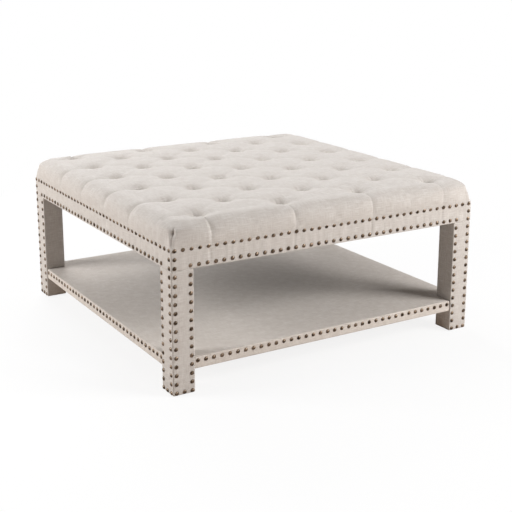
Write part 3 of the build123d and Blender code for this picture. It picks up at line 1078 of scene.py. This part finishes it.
@dataclass
class ClothSlack:
    """Lets the cover swell and settle between its buttons and its nails, by cloth simulation.

    The simulation runs on a coarser twin of the cushion, and the fine mesh takes over how far
    the twin moved, so that its folds stay crisp.
    """

    frames: int = 18
    pressure: float = 3.0
    ease: float = 0.004
    most: float = 3 * MM
    held_radius: float = 16 * MM
    held_rim: float = 3 * MM
    quality: int = 6
    mass: float = 0.25
    stretch: float = 20
    shear: float = 8
    bending: float = 1.5
    twin_spacing: float = 11 * MM
    twin_steps: int = 13
    neighbours: int = 6  # points of the twin that one fine point follows
    softening: float = 3 * MM  # keeps the nearest of them from deciding alone

    def moved(self, twin: bpy.types.Object, held: np.ndarray) -> np.ndarray:
        """Simulate the twin.

        Args:
            twin: A coarse copy of the cover.
            held: Whether each of its points is held by a button or a nail.

        Returns:
            How far each point moved, no more than the limit.
        """
        before = np.array([vertex.co[:] for vertex in twin.data.vertices])
        group = twin.vertex_groups.new(name="held")
        group.add(np.nonzero(held)[0].tolist(), 1.0, "REPLACE")
        cloth = twin.modifiers.new("settling", "CLOTH")
        rules = cloth.settings
        rules.quality, rules.mass, rules.vertex_group_mass = self.quality, self.mass, "held"
        rules.tension_stiffness, rules.compression_stiffness = self.stretch, self.stretch
        rules.shear_stiffness, rules.bending_stiffness = self.shear, self.bending
        rules.use_pressure, rules.uniform_pressure_force = True, self.pressure
        rules.shrink_min = -self.ease
        rules.effector_weights.gravity = 0
        scene = bpy.context.scene
        for frame in range(1, self.frames + 1):
            scene.frame_set(frame)
        graph = bpy.context.evaluated_depsgraph_get()
        settled = twin.evaluated_get(graph).data
        after = np.array([vertex.co[:] for vertex in settled.vertices])
        scene.frame_set(1)
        twin.modifiers.remove(cloth)
        away = after - before
        length = np.linalg.norm(away, axis=1, keepdims=True)
        LOG.info("cover settled by up to %.1f mm", length.max() / MM)
        return away * np.minimum(1, self.most / np.maximum(length, 1e-9))

    def settle(self, cover: bpy.types.Object, frame: TableFrame) -> None:
        """Move the fine cover as its coarse twin moves in the simulation.

        Args:
            cover: The fine mesh, which is changed.
            frame: The places of the buttons and the nails that hold it.
        """
        twin = TuftedTop(frame, spacing=self.twin_spacing, profile_steps=self.twin_steps).build()
        places = np.array([vertex.co[:] for vertex in twin.data.vertices])
        reach = np.min([np.hypot(*(places[:, :2] - tuft[:2]).T) for tuft in frame.tufts], axis=0)
        rim = places[:, 2] < frame.nail_line + self.held_rim
        away = self.moved(twin, (reach < self.held_radius) | rim)
        tree = kdtree.KDTree(len(places))
        for number, place in enumerate(places.tolist()):
            tree.insert(place, number)
        tree.balance()
        for vertex in cover.data.vertices:
            found = tree.find_n(vertex.co, self.neighbours)
            weights = np.array([1 / (distance + self.softening) ** 2 for _, _, distance in found])
            shift = (away[[number for _, number, _ in found]] * weights[:, None]).sum(axis=0)
            vertex.co += Vector(shift / weights.sum())
        bpy.data.objects.remove(twin)


@dataclass
class Apron:
    """The band of cover between the top nails and the hem, over the rails."""

    frame: TableFrame
    spacing: float = 3.3 * MM
    corner_radius: float = 3 * MM
    hem_radius: float = 2 * MM
    hem_return: float = 14 * MM
    hem_rise: float = 1.5 * MM
    ripple: float = 0.85 * MM
    narrow_ripple: float = 13 * MM
    wide_ripple: float = 45 * MM
    # the ripple fades out over these lengths towards what holds the cloth
    held_at_nails: float = 8 * MM
    held_at_hem: float = 4 * MM
    held_at_corners: float = 12 * MM
    fold_height: float = 0.9 * MM
    fold_width: float = 2.4 * MM
    dent_depth: float = 0.7 * MM
    dent_width: float = 7 * MM

    def build(self, nails: np.ndarray, pleats_x: np.ndarray, pleats_y: np.ndarray
              ) -> bpy.types.Object:
        """Make the band's mesh.

        Args:
            nails: Places of all nail heads on the table.
            pleats_x: Places of the pleats on the front and back.
            pleats_y: Places of the pleats on the left and right.

        Returns:
            The finished piece.
        """
        half, radius = self.frame.half, self.corner_radius
        count = round(2 * half / self.spacing)
        along = np.linspace(-half, half, count + 1)
        drop = self.frame.nail_line - self.frame.apron_bottom
        rows = round(drop / self.spacing)
        hem = self.frame.apron_bottom + self.hem_radius
        heights = list(np.linspace(self.frame.nail_line, hem, rows))
        insets = [0.0] * len(heights)
        for step in (1, 2, 3):
            turn = step * math.pi / 6
            heights.append(self.frame.apron_bottom + self.hem_radius * (1 - math.sin(turn)))
            insets.append(self.hem_radius * (1 - math.cos(turn)))
        heights += [self.frame.apron_bottom, self.frame.apron_bottom + self.hem_rise]
        insets += [self.hem_return, self.hem_return]
        points, cloth, faces = [], [], []
        for turn in range(4):
            pleats = pleats_y if turn % 2 else pleats_x
            patch = []
            for height, inset in zip(heights, insets):
                reach = half - inset
                x, y, *_ = rounded_side(along * reach / half, reach, radius)
                patch.append(np.stack([x, -y, np.full_like(x, height)], axis=-1))
            patch = np.concatenate(patch)
            places = np.stack([patch[:, 0], patch[:, 2] - self.frame.nail_line - half], axis=-1)
            spin = quarter_turns(turn)
            free = smooth_step((self.frame.nail_line - patch[:, 2]) / self.held_at_nails)
            free *= smooth_step((patch[:, 2] - self.frame.apron_bottom) / self.held_at_hem)
            free *= smooth_step((half - 2 * MM - np.abs(patch[:, 0])) / self.held_at_corners)
            line = np.stack([patch[:, 0] + turn * 3, patch[:, 2] * 0.12, patch[:, 0] * 0], axis=-1)
            sway = (waver(line, self.narrow_ripple, 1.0 + turn) * self.ripple
                    + waver(line, self.wide_ripple, 9.0) * self.ripple)
            nearest = np.min(np.abs(patch[:, 0][:, None] - pleats), axis=-1)
            fold = self.fold_height * bell(nearest, self.fold_width)
            patch[:, 1] += (fold - sway) * free
            patch[:, :2] = patch[:, :2] @ spin
            start = sum(len(part) for part in points)
            faces += [face[::-1] for face in patch_faces(len(heights), len(along), start)]
            points.append(patch)
            cloth.append(places @ spin)
        dented = press_nails(np.concatenate(points), nails, self.dent_depth, self.dent_width)
        return cloth_mesh("apron_cover", dented, np.concatenate(cloth), faces, weld=0.2 * MM)


def press_nails(points: np.ndarray, nails: np.ndarray, depth: float, width: float) -> np.ndarray:
    """Dent cloth inwards round every nail head.

    Args:
        points: Cloth points on the table's upright faces.
        nails: Nail heads, each with its place and outward direction.
        depth: Depth of a dent.
        width: Rough radius of a dent.

    Returns:
        The dented points.
    """
    made = points.copy()
    for x, y, z, out_x, out_y in nails:
        away = points - np.array([x, y, z])
        near = (np.abs(away) < 2.5 * width).all(axis=1)
        if near.any():
            hump = bell(np.linalg.norm(away[near], axis=1), width) * depth
            made[near, 0] -= out_x * hump
            made[near, 1] -= out_y * hump
    return made


@dataclass
class LegCover:
    """A linen sleeve pulled over a square post, closed with a butted seam down its outer corner."""

    name: str
    node: str
    spacing: float = 3.3 * MM
    edge_radius: float = 2.6 * MM
    seam_depth: float = 1.1 * MM
    seam_width: float = 1.1 * MM
    hem_drop: float = 0.4 * MM  # the cloth turned under the post hangs this far below its end
    level_mm: float = 4.2
    slack_mm: float = 0.35
    slack_size: float = 22 * MM
    dent_depth: float = 0.7 * MM
    dent_width: float = 7 * MM

    def build(self, nails: np.ndarray, seed: float) -> bpy.types.Object:
        """Make the sleeve's mesh.

        Args:
            nails: Places and outward directions of all nail heads.
            seed: Picks the pattern of the cloth's slack.

        Returns:
            The finished piece.
        """
        low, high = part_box(self.node)
        middle = (low + high) / 2
        half = (high.x - low.x) / 2
        out_x, out_y = math.copysign(1, middle.x), math.copysign(1, middle.y)
        flat = half - self.edge_radius
        turns = np.linspace(-math.pi / 4, math.pi / 4, 7)
        run = np.linspace(-flat, flat, round(2 * flat / self.spacing) + 1)
        outline = []
        for quarter in range(4):
            angle = quarter * math.pi / 2
            corner = [(flat + self.edge_radius * math.cos(turn + math.pi / 4),
                       flat + self.edge_radius * math.sin(turn + math.pi / 4)) for turn in turns]
            side = [(-place, half) for place in run[1:-1]]
            for x, y in corner + side:
                outline.append((x * math.cos(angle) - y * math.sin(angle),
                                x * math.sin(angle) + y * math.cos(angle)))
        outline = np.array(outline)
        steps = np.linalg.norm(outline - np.roll(outline, 1, axis=0), axis=1)
        travel = np.cumsum(steps) - steps[0]
        count = round((high.z - low.z) / self.level_mm / MM)
        heights = np.linspace(low.z + 1.5 * MM, high.z - 1.2 * MM, count)
        hem = low.z - self.hem_drop
        levels = [(hem, 0.3), (hem, 0.93), (low.z + 0.4 * MM, 0.98),
                  *[(height, 1.0) for height in heights],
                  (high.z - 0.3 * MM, 0.985), (high.z, 0.95), (high.z, 0.3)]
        points, cloth = [], []
        for height, share in levels:
            ring = outline * share
            points.append(np.column_stack([ring, np.full(len(ring), height)]))
            level = np.full(len(ring), height - (1 - share) * half)
            cloth.append(np.column_stack([travel, level]))
        points, cloth = np.concatenate(points), np.concatenate(cloth)
        seam = np.array([out_x, out_y]) * (half - 0.3 * self.edge_radius)
        gap = np.linalg.norm(points[:, :2] - seam, axis=1)
        inward = points[:, :2] / np.maximum(np.linalg.norm(points[:, :2], axis=1), 1e-6)[:, None]
        slack = waver(points * np.array([1, 1, 0.35]), self.slack_size, seed) * self.slack_mm * MM
        depth = self.seam_depth * bell(gap, self.seam_width) - slack
        points[:, :2] -= inward * depth[:, None]
        points += np.array([middle.x, middle.y, 0])
        points = press_nails(points, nails, self.dent_depth, self.dent_width)
        columns = len(outline)
        faces = patch_faces(len(levels), columns, closed=True)
        faces.append(tuple(reversed(range(columns))))
        faces.append(tuple(range(len(points) - columns, len(points))))
        return cloth_mesh(self.name, points, cloth, faces)


@dataclass
class ShelfCover:
    """Linen stretched over the shelf board, notched round the legs and turned under its edge."""

    spacing: float = 3.4 * MM
    edge_radius: float = 3.0 * MM
    top_spacing: float = 10 * MM
    turn_under: float = 30 * MM
    notch_gap: float = 0.3 * MM
    rim_share: float = 2.2
    hold: float = 10 * MM
    hold_run: float = 30 * MM
    # width, seed and height in millimetres of the slack's swells
    sways: tuple[tuple[float, float, float], ...] = ((70 * MM, 4.0, 0.5), (26 * MM, 6.0, 0.18))
    dent_depth: float = 0.6 * MM
    dent_width: float = 7 * MM

    def outline(self, margin: float) -> np.ndarray:
        """The shelf's notched outline, with even points along each edge.

        Args:
            margin: How far the outline is drawn in.

        Returns:
            Plan places, one row each.
        """
        _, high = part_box("shelf_cover")
        _, leg_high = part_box("leg_cover_front_left")
        whole = (high.x, -leg_high.x - self.notch_gap)
        drawn_in = (whole[0] - margin, whole[1] - margin)
        quarter, full = ([(reach, -notch), (reach, notch), (notch, notch), (notch, reach)]
                         for reach, notch in (drawn_in, whole))
        places = []
        for turn in range(4):
            for near, far, full_near, full_far in zip(quarter, quarter[1:], full, full[1:]):
                length = math.dist(full_near, full_far)
                count = round(length / self.spacing)
                for step in range(count):
                    share = step / count
                    x = near[0] + (far[0] - near[0]) * share
                    y = near[1] + (far[1] - near[1]) * share
                    for _ in range(turn):
                        x, y = -y, x
                    places.append((x, y))
        return np.array(places)

    def build(self, nails: np.ndarray) -> bpy.types.Object:
        """Make the shelf cover's mesh.

        Args:
            nails: Places and outward directions of all nail heads.

        Returns:
            The finished piece.
        """
        low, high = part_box("shelf_cover")
        radius = self.edge_radius
        rise = high.z - low.z - 2 * radius
        rows = round(rise / self.spacing)
        turns = [step * math.pi / 8 for step in range(5)]
        roll = [(radius * (1 - math.sin(turn)), radius * (1 - math.cos(turn))) for turn in turns]
        profile = [(self.turn_under, low.z + 1.5 * MM), (self.turn_under, low.z),
                   (radius * 2, low.z),
                   *[(across, low.z + along) for across, along in roll],
                   *[(0.0, low.z + radius + rise * step / rows) for step in range(1, rows)],
                   *[(along, high.z - across) for across, along in roll],
                   (radius * self.rim_share, high.z)]
        count = len(self.outline(0))
        rings = [np.column_stack([self.outline(inset), np.full(count, height)])
                 for inset, height in profile]
        points = press_nails(np.concatenate(rings), nails, self.dent_depth, self.dent_width)
        faces = patch_faces(len(rings), count, closed=True)
        rim = points[-count:, :2]
        lines = np.arange(-high.x, high.x, self.top_spacing)
        rim_inset = radius * self.rim_share
        limit = np.abs(self.outline(rim_inset + self.top_spacing * 0.6)).max()
        notch = np.abs(self.outline(rim_inset + self.top_spacing * 0.5)).min(axis=1).max()
        grid = [(x, y) for x in lines for y in lines
                if max(abs(x), abs(y)) < limit and min(abs(x), abs(y)) < notch]
        edges = [(number, (number + 1) % count) for number in range(count)]
        flat = [Vector(place) for place in [*rim.tolist(), *grid]]
        found, _, triangles, *_ = geometry.delaunay_2d_cdt(flat, edges, [], 1, 1e-6)
        added = np.array([(*place, high.z) for place in found[count:]])
        first_rim = len(points) - count
        number_of = {index: first_rim + index if index < count else len(points) + index - count
                     for index in range(len(found))}
        faces += [tuple(number_of[index] for index in triangle) for triangle in triangles]
        points = np.concatenate([points, added])
        inset = high.x - np.max(np.abs(points[:, :2]), axis=1)
        inside = smooth_step((inset - self.hold) / self.hold_run)
        level = points[:, 2] > high.z - 0.1 * MM
        sway = sum(waver(points, size, seed) * high_mm * MM for size, seed, high_mm in self.sways)
        points[:, 2] += np.where(level, sway * inside, 0)
        side = np.abs(points[:, 0]) > np.abs(points[:, 1])
        fall = np.minimum(high.z - points[:, 2], 0.05)
        cloth_x = points[:, 0] + np.where(side, np.sign(points[:, 0]) * fall, 0)
        cloth_y = points[:, 1] + np.where(side, 0, np.sign(points[:, 1]) * fall)
        return cloth_mesh("shelf_cover_cloth", points, np.column_stack([cloth_x, cloth_y]), faces)


class Fitting(Enum):
    """Small fittings that are set in rows by one tree each."""

    NAIL = "domed nail head"
    BUTTON = "covered button"


@dataclass
class FittingRows:
    """Small rounded fittings placed by a node tree on points, each turned to face outwards."""

    kind: Fitting
    diameter: float
    height: float
    segments: int
    rings: int
    wander: float
    tilt: float
    seed: int

    def spread(self, tree: bpy.types.NodeTree, seed: bpy.types.NodeSocket,
               most: bpy.types.NodeSocket) -> bpy.types.NodeSocket:
        """Draw a random vector for each point.

        Args:
            tree: The fitting's tree.
            seed: A socket that picks the pattern.
            most: A socket with the largest value of each of the vector's parts.

        Returns:
            A socket with the vector, each part from minus the most to the most.
        """
        least = add_node(tree, "ShaderNodeMath", {"operation": "MULTIPLY", 1: -1.0}, {0: most})
        drawn = add_node(tree, "FunctionNodeRandomValue", {"data_type": "FLOAT_VECTOR"},
                         {"Seed": seed, 0: least.outputs[0], 1: most})
        return drawn.outputs[0]

    def tree(self) -> bpy.types.NodeTree:
        """Build the node tree, with its sizes, its seed and its finish as named inputs.

        Returns:
            The tree for a nodes modifier.
        """
        tree = bpy.data.node_groups.new(self.kind.value.replace(" ", "_"), "GeometryNodeTree")
        face = tree.interface
        face.new_socket("Geometry", in_out="INPUT", socket_type="NodeSocketGeometry")
        for label in ("Diameter", "Height", "Wander", "Tilt"):
            face.new_socket(label, in_out="INPUT", socket_type="NodeSocketFloat")
        face.new_socket("Seed", in_out="INPUT", socket_type="NodeSocketInt")
        face.new_socket("Finish", in_out="INPUT", socket_type="NodeSocketMaterial")
        face.new_socket("Geometry", in_out="OUTPUT", socket_type="NodeSocketGeometry")
        given = add_node(tree, "NodeGroupInput").outputs
        ball = add_node(tree, "GeometryNodeMeshUVSphere",
                        {"Segments": self.segments, "Rings": self.rings, "Radius": 1.0})
        place = add_node(tree, "GeometryNodeInputPosition")
        split = add_node(tree, "ShaderNodeSeparateXYZ", links={0: place.outputs[0]})
        under = add_node(tree, "FunctionNodeCompare", {"operation": "LESS_THAN", 1: -0.02},
                         {0: split.outputs["Z"]})
        dome = add_node(tree, "GeometryNodeDeleteGeometry", {"domain": "FACE"},
                        {0: ball.outputs[0], 1: under.outputs[0]})
        smooth = add_node(tree, "GeometryNodeSetShadeSmooth", links={0: dome.outputs[0]})
        radius = add_node(tree, "ShaderNodeMath", {"operation": "MULTIPLY", 1: 0.5},
                          {0: given["Diameter"]})
        size = add_node(tree, "ShaderNodeCombineXYZ",
                        links={"X": radius.outputs[0], "Y": radius.outputs[0],
                               "Z": given["Height"]})
        outward = add_node(tree, "GeometryNodeInputNamedAttribute",
                           {"data_type": "FLOAT_VECTOR", "Name": "outward"})
        facing = add_node(tree, "FunctionNodeAlignRotationToVector", {"axis": "Z"},
                          {"Vector": outward.outputs[0]})
        turn, shift = (self.spread(tree, given["Seed"], given[most]) for most in ("Tilt", "Wander"))
        turned = add_node(tree, "FunctionNodeRotateRotation", {"rotation_space": "LOCAL"},
                          {0: facing.outputs[0], 1: turn})
        shifted = add_node(tree, "GeometryNodeSetPosition", links={0: given["Geometry"], 3: shift})
        dots = add_node(tree, "GeometryNodeMeshToPoints", links={0: shifted.outputs[0]})
        set_out = add_node(tree, "GeometryNodeInstanceOnPoints",
                           links={"Points": dots.outputs[0], "Instance": smooth.outputs[0],
                                  "Rotation": turned.outputs[0], "Scale": size.outputs[0]})
        real = add_node(tree, "GeometryNodeRealizeInstances", links={0: set_out.outputs[0]})
        finish = add_node(tree, "GeometryNodeSetMaterial",
                          links={"Geometry": real.outputs[0], "Material": given["Finish"]})
        add_node(tree, "NodeGroupOutput", links={0: finish.outputs[0]})
        return tree

    def build(self, name: str, places: np.ndarray, outward: np.ndarray,
              material: bpy.types.Material) -> bpy.types.Object:
        """Set the fittings out and turn the result into a plain mesh.

        Args:
            name: The piece's name.
            places: The foot of each fitting.
            outward: The direction that each one faces.
            material: Its finish.

        Returns:
            The finished piece.
        """
        mesh = bpy.data.meshes.new(name + "_points")
        mesh.from_pydata(places.tolist(), [], [])
        attribute = mesh.attributes.new("outward", "FLOAT_VECTOR", "POINT")
        attribute.data.foreach_set("vector", outward.astype(np.float32).ravel())
        holder = linked(name + "_points", mesh)
        modifier = holder.modifiers.new("set_out", "NODES")
        modifier.node_group = self.tree()
        values = {"Diameter": self.diameter, "Height": self.height, "Wander": self.wander,
                  "Tilt": self.tilt, "Seed": self.seed, "Finish": material}
        for item in modifier.node_group.interface.items_tree:
            if item.in_out == "INPUT" and item.name in values:
                modifier[item.identifier] = values[item.name]
        graph = bpy.context.evaluated_depsgraph_get()
        made = bpy.data.meshes.new_from_object(holder.evaluated_get(graph))
        made.name = name
        bpy.data.objects.remove(holder)
        return linked(name, made)


@dataclass
class NailTrim:
    """Every domed nail head on the table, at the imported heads' own places."""

    nodes: tuple[str, ...] = ("top_edge_nails", "apron_nails", "leg_nails", "shelf_nails")
    head_diameter: float = 11.8 * MM
    head_height: float = 3.3 * MM
    sunk_mm: float = 0.3
    tip_depth: float = 0.05 * MM
    apart: float = 4 * MM

    def heads(self, node: str) -> np.ndarray:
        """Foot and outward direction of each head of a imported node.

        Args:
            node: The node's name.

        Returns:
            Rows of x, y, z, outward x and outward y.
        """
        points = node_points(node)
        reach = np.max(np.abs(points[:, :2]), axis=1)
        height = reach.max() - np.abs(np.round(reach, 5)).min()
        tips = distinct(points[reach > reach.max() - self.tip_depth], self.apart)
        rows = []
        for x, y, z in tips:
            if abs(x) > abs(y):
                rows.append((x - math.copysign(height, x), y, z, math.copysign(1, x), 0.0))
            else:
                rows.append((x, y - math.copysign(height, y), z, 0.0, math.copysign(1, y)))
        return np.array(rows)

    def build(self, material: bpy.types.Material) -> tuple[list[bpy.types.Object], np.ndarray]:
        """Make one piece for each packed row of nails.

        Args:
            material: The nails' finish.

        Returns:
            The pieces, and the foot and direction of every head.
        """
        pieces, every = [], []
        for number, node in enumerate(self.nodes):
            rows = self.heads(node)
            every.append(rows)
            fitting = FittingRows(Fitting.NAIL, self.head_diameter, self.head_height, segments=14,
                                  rings=8, wander=0.35 * MM, tilt=0.05, seed=number + 3)
            outward = np.column_stack([rows[:, 3:5], np.zeros(len(rows))])
            foot = rows[:, :3] - outward * self.sunk_mm * MM
            piece = fitting.build(node + "_domed", foot, outward, material)
            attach(piece, BODY)
            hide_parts(node)
            pieces.append(piece)
        return pieces, np.concatenate(every)


@dataclass(frozen=True)
class Lamp:
    """A square soft lamp that looks at the table."""

    name: str
    azimuth_deg: float
    elevation_deg: float
    distance: float
    size: float
    watts: float
    colour: str
    aim_height: float = 0.25

    def hang(self) -> None:
        """Put the lamp up: azimuth 0 is in front of the table and 90 to its right."""
        azimuth, elevation = math.radians(self.azimuth_deg), math.radians(self.elevation_deg)
        away = Vector((math.sin(azimuth) * math.cos(elevation),
                       -math.cos(azimuth) * math.cos(elevation), math.sin(elevation)))
        light = bpy.data.lights.new(self.name, "AREA")
        light.shape, light.size, light.energy = "SQUARE", self.size, self.watts
        light.color = linear(self.colour)[:3]
        lamp = linked(self.name, light)
        lamp.location = away * self.distance + Vector((0, 0, self.aim_height))
        lamp.rotation_mode = "QUATERNION"
        lamp.rotation_quaternion = (-away).to_track_quat("-Z", "Y")


@dataclass
class Studio:
    """A plain pale floor, soft studio lamps and the camera."""

    camera_place: tuple[float, float, float] = (-1.604, -2.754, 1.133)
    camera_yaw_deg: float = 59.01
    camera_pitch_deg: float = 13.87
    lens_mm: float = 73.11
    sensor_mm: float = 36.0
    shift_up: float = -0.1
    floor_size: float = 60.0
    floor_tone: str = "DBD1C9"
    floor_fade: tuple[float, float] = (0.7, 2.0)  # the floor turns to plain white between these
    least_white: float = 0.85
    sky: float = 0.15
    sky_tone: str = "FBF0E8"
    white: str = "FFFFFF"
    lamps: tuple[Lamp, ...] = (
        Lamp("left", -108, 24, 4.0, 1.8, 104, "FFFFFF"),
        Lamp("right", 40, 24, 4.0, 1.8, 130, "FFFFFF"),
        Lamp("back", 174, 32, 4.2, 2.0, 100, "FCFDFF"),
        Lamp("overhead", 0, 88, 3.2, 2.6, 12, "F8FAFF"),
    )

    def floor(self) -> None:
        """Lay the floor under the glides: white to the camera, with the table's soft shadow."""
        half = self.floor_size / 2
        corners = [(-half, -half, 0), (half, -half, 0), (half, half, 0), (-half, half, 0)]
        mesh = bpy.data.meshes.new("studio_floor")
        mesh.from_pydata(corners, [], [(0, 1, 2, 3)])
        floor = linked("studio_floor", mesh)
        material = bpy.data.materials.new("white_paper")
        tree = empty_tree(material)
        path = add_node(tree, "ShaderNodeLightPath")
        tone = add_node(tree, "ShaderNodeMix",
                        {"data_type": "RGBA", 6: linear(self.floor_tone), 7: linear(self.white)},
                        {0: path.outputs["Is Camera Ray"]})
        paper = add_node(tree, "ShaderNodeBsdfDiffuse", links={"Color": tone.outputs[2]})
        glow = add_node(tree, "ShaderNodeEmission", {"Color": linear(self.white), "Strength": 1.0})
        place = add_node(tree, "ShaderNodeTexCoord")
        away = add_node(tree, "ShaderNodeVectorMath", {"operation": "LENGTH"},
                        {0: place.outputs["Object"]})
        far = add_node(tree, "ShaderNodeMapRange",
                       {"From Min": self.floor_fade[0], "From Max": self.floor_fade[1],
                        "To Min": self.least_white, "To Max": 1.0},
                       {"Value": away.outputs["Value"]})
        seen = add_node(tree, "ShaderNodeMath", {"operation": "MULTIPLY"},
                        {0: path.outputs["Is Camera Ray"], 1: far.outputs["Result"]})
        both = add_node(tree, "ShaderNodeMixShader",
                        links={0: seen.outputs[0], 1: paper.outputs[0], 2: glow.outputs[0]})
        add_node(tree, "ShaderNodeOutputMaterial", links={"Surface": both.outputs[0]})
        mesh.materials.append(material)

    def world(self) -> None:
        """Surround the table with soft pale light, and show the camera plain white."""
        world = bpy.data.worlds.new("studio_world")
        bpy.context.scene.world = world
        tree = empty_tree(world)
        soft, plain = (add_node(tree, "ShaderNodeBackground",
                                {"Color": linear(tone), "Strength": strength})
                       for tone, strength in ((self.sky_tone, self.sky), (self.white, 1.0)))
        path = add_node(tree, "ShaderNodeLightPath")
        seen = add_node(tree, "ShaderNodeMath", {"operation": "MAXIMUM"},
                        {0: path.outputs["Is Camera Ray"], 1: path.outputs["Is Glossy Ray"]})
        any_seen = add_node(tree, "ShaderNodeMath", {"operation": "MAXIMUM"},
                            {0: seen.outputs[0], 1: path.outputs["Is Transmission Ray"]})
        both = add_node(tree, "ShaderNodeMixShader",
                        links={0: any_seen.outputs[0], 1: soft.outputs[0], 2: plain.outputs[0]})
        add_node(tree, "ShaderNodeOutputWorld", links={"Surface": both.outputs[0]})

    def camera(self) -> None:
        """Set the camera at the photograph's viewing angle."""
        data = bpy.data.cameras.new("camera")
        data.sensor_width, data.lens = self.sensor_mm, self.lens_mm
        data.shift_y = self.shift_up
        camera = linked("camera", data)
        yaw, pitch = math.radians(self.camera_yaw_deg), math.radians(self.camera_pitch_deg)
        ahead = Vector((math.cos(yaw) * math.cos(pitch), math.sin(yaw) * math.cos(pitch),
                        -math.sin(pitch)))
        camera.location = self.camera_place
        camera.rotation_mode = "QUATERNION"
        camera.rotation_quaternion = ahead.to_track_quat("-Z", "Y")
        bpy.context.scene.camera = camera

    def build(self) -> None:
        """Put up the whole studio."""
        self.floor()
        self.world()
        for lamp in self.lamps:
            lamp.hang()
        self.camera()
        bpy.context.scene.view_settings.view_transform = "Standard"


@dataclass
class DustSheet:
    """A thin black sheet stapled under the rails, a little slack between them."""

    points_a_side: int = 61
    staple_inset: float = 12 * MM
    slack_run: float = 60 * MM
    drop: float = 0.6 * MM
    sag: float = 2 * MM
    wrinkle_mm: float = 0.8
    wrinkle_size: float = 120 * MM
    thickness: float = 0.3 * MM

    def build(self, material: bpy.types.Material) -> bpy.types.Object:
        """Make the sheet.

        Args:
            material: Its finish.

        Returns:
            The finished piece.
        """
        low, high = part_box("dust_cover")
        places = np.linspace(low.x, high.x, self.points_a_side)
        grid_x, grid_y = np.meshgrid(places, places)
        inset = high.x - np.maximum(np.abs(grid_x), np.abs(grid_y))
        free = smooth_step((inset - self.staple_inset) / self.slack_run)
        level = high.z - self.drop - free * self.sag
        flat = np.stack([grid_x, grid_y, level], axis=-1).reshape(-1, 3)
        flat[:, 2] += waver(flat, self.wrinkle_size, 2.0) * self.wrinkle_mm * MM * free.ravel()
        faces = [face[::-1] for face in patch_faces(self.points_a_side, self.points_a_side)]
        piece = cloth_mesh("dust_sheet", flat, flat[:, :2], faces)
        wall = piece.modifiers.new("thickness", "SOLIDIFY")
        wall.thickness = self.thickness
        piece.data.materials.append(material)
        return piece


def log_piece(piece: bpy.types.Object) -> None:
    """Say that a piece is finished and how many faces it has."""
    LOG.info("%s: %d faces", piece.name, len(piece.data.polygons))


def fasten(piece: bpy.types.Object, node: str,
           material: bpy.types.Material | None = None) -> None:
    """Tie a finished piece to the table and report it.

    Args:
        piece: The piece.
        node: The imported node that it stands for.
        material: Its finish, if it has none yet.
    """
    if material is not None:
        piece.data.materials.append(material)
    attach(piece, BODY)
    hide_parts(node)
    log_piece(piece)


def main() -> None:
    """Load the frame, build every piece in order, and put up the studio."""
    logging.basicConfig(level=logging.INFO, format="%(name)s: %(message)s")
    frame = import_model()
    palette = Palette()
    palette.dress_nodes(frame["record"], frame["nodes"])
    table = TableFrame()
    nail_pieces, nails = NailTrim().build(palette.bronze)
    for piece in nail_pieces:
        log_piece(piece)

    top = TuftedTop(table)
    cushion = top.build()
    ClothSlack().settle(cushion, table)
    fasten(cushion, "tufted_cover", palette.linen)

    apron = Apron(table).build(nails, top.columns[::2], top.rows[::2])
    fasten(apron, "tufted_cover", palette.linen)

    for number, corner in enumerate(("front_left", "front_right", "back_left", "back_right")):
        sleeve = LegCover(f"leg_sleeve_{corner}", f"leg_cover_{corner}").build(nails, number * 2.7)
        fasten(sleeve, f"leg_cover_{corner}", palette.linen)

    shelf = ShelfCover().build(nails)
    fasten(shelf, "shelf_cover", palette.shelf_linen)

    buttons = FittingRows(Fitting.BUTTON, diameter=18 * MM, height=7 * MM, segments=18, rings=10,
                          wander=0.5 * MM, tilt=0.08, seed=11)
    upward = np.tile([0.0, 0.0, 1.0], (len(table.tufts), 1))
    covered = buttons.build("covered_buttons", table.tufts, upward, palette.linen)
    fasten(covered, "tuft_buttons")

    sheet = DustSheet().build(palette.cambric)
    fasten(sheet, "dust_cover")

    Studio().build()


if __name__ == "__main__":
    main()
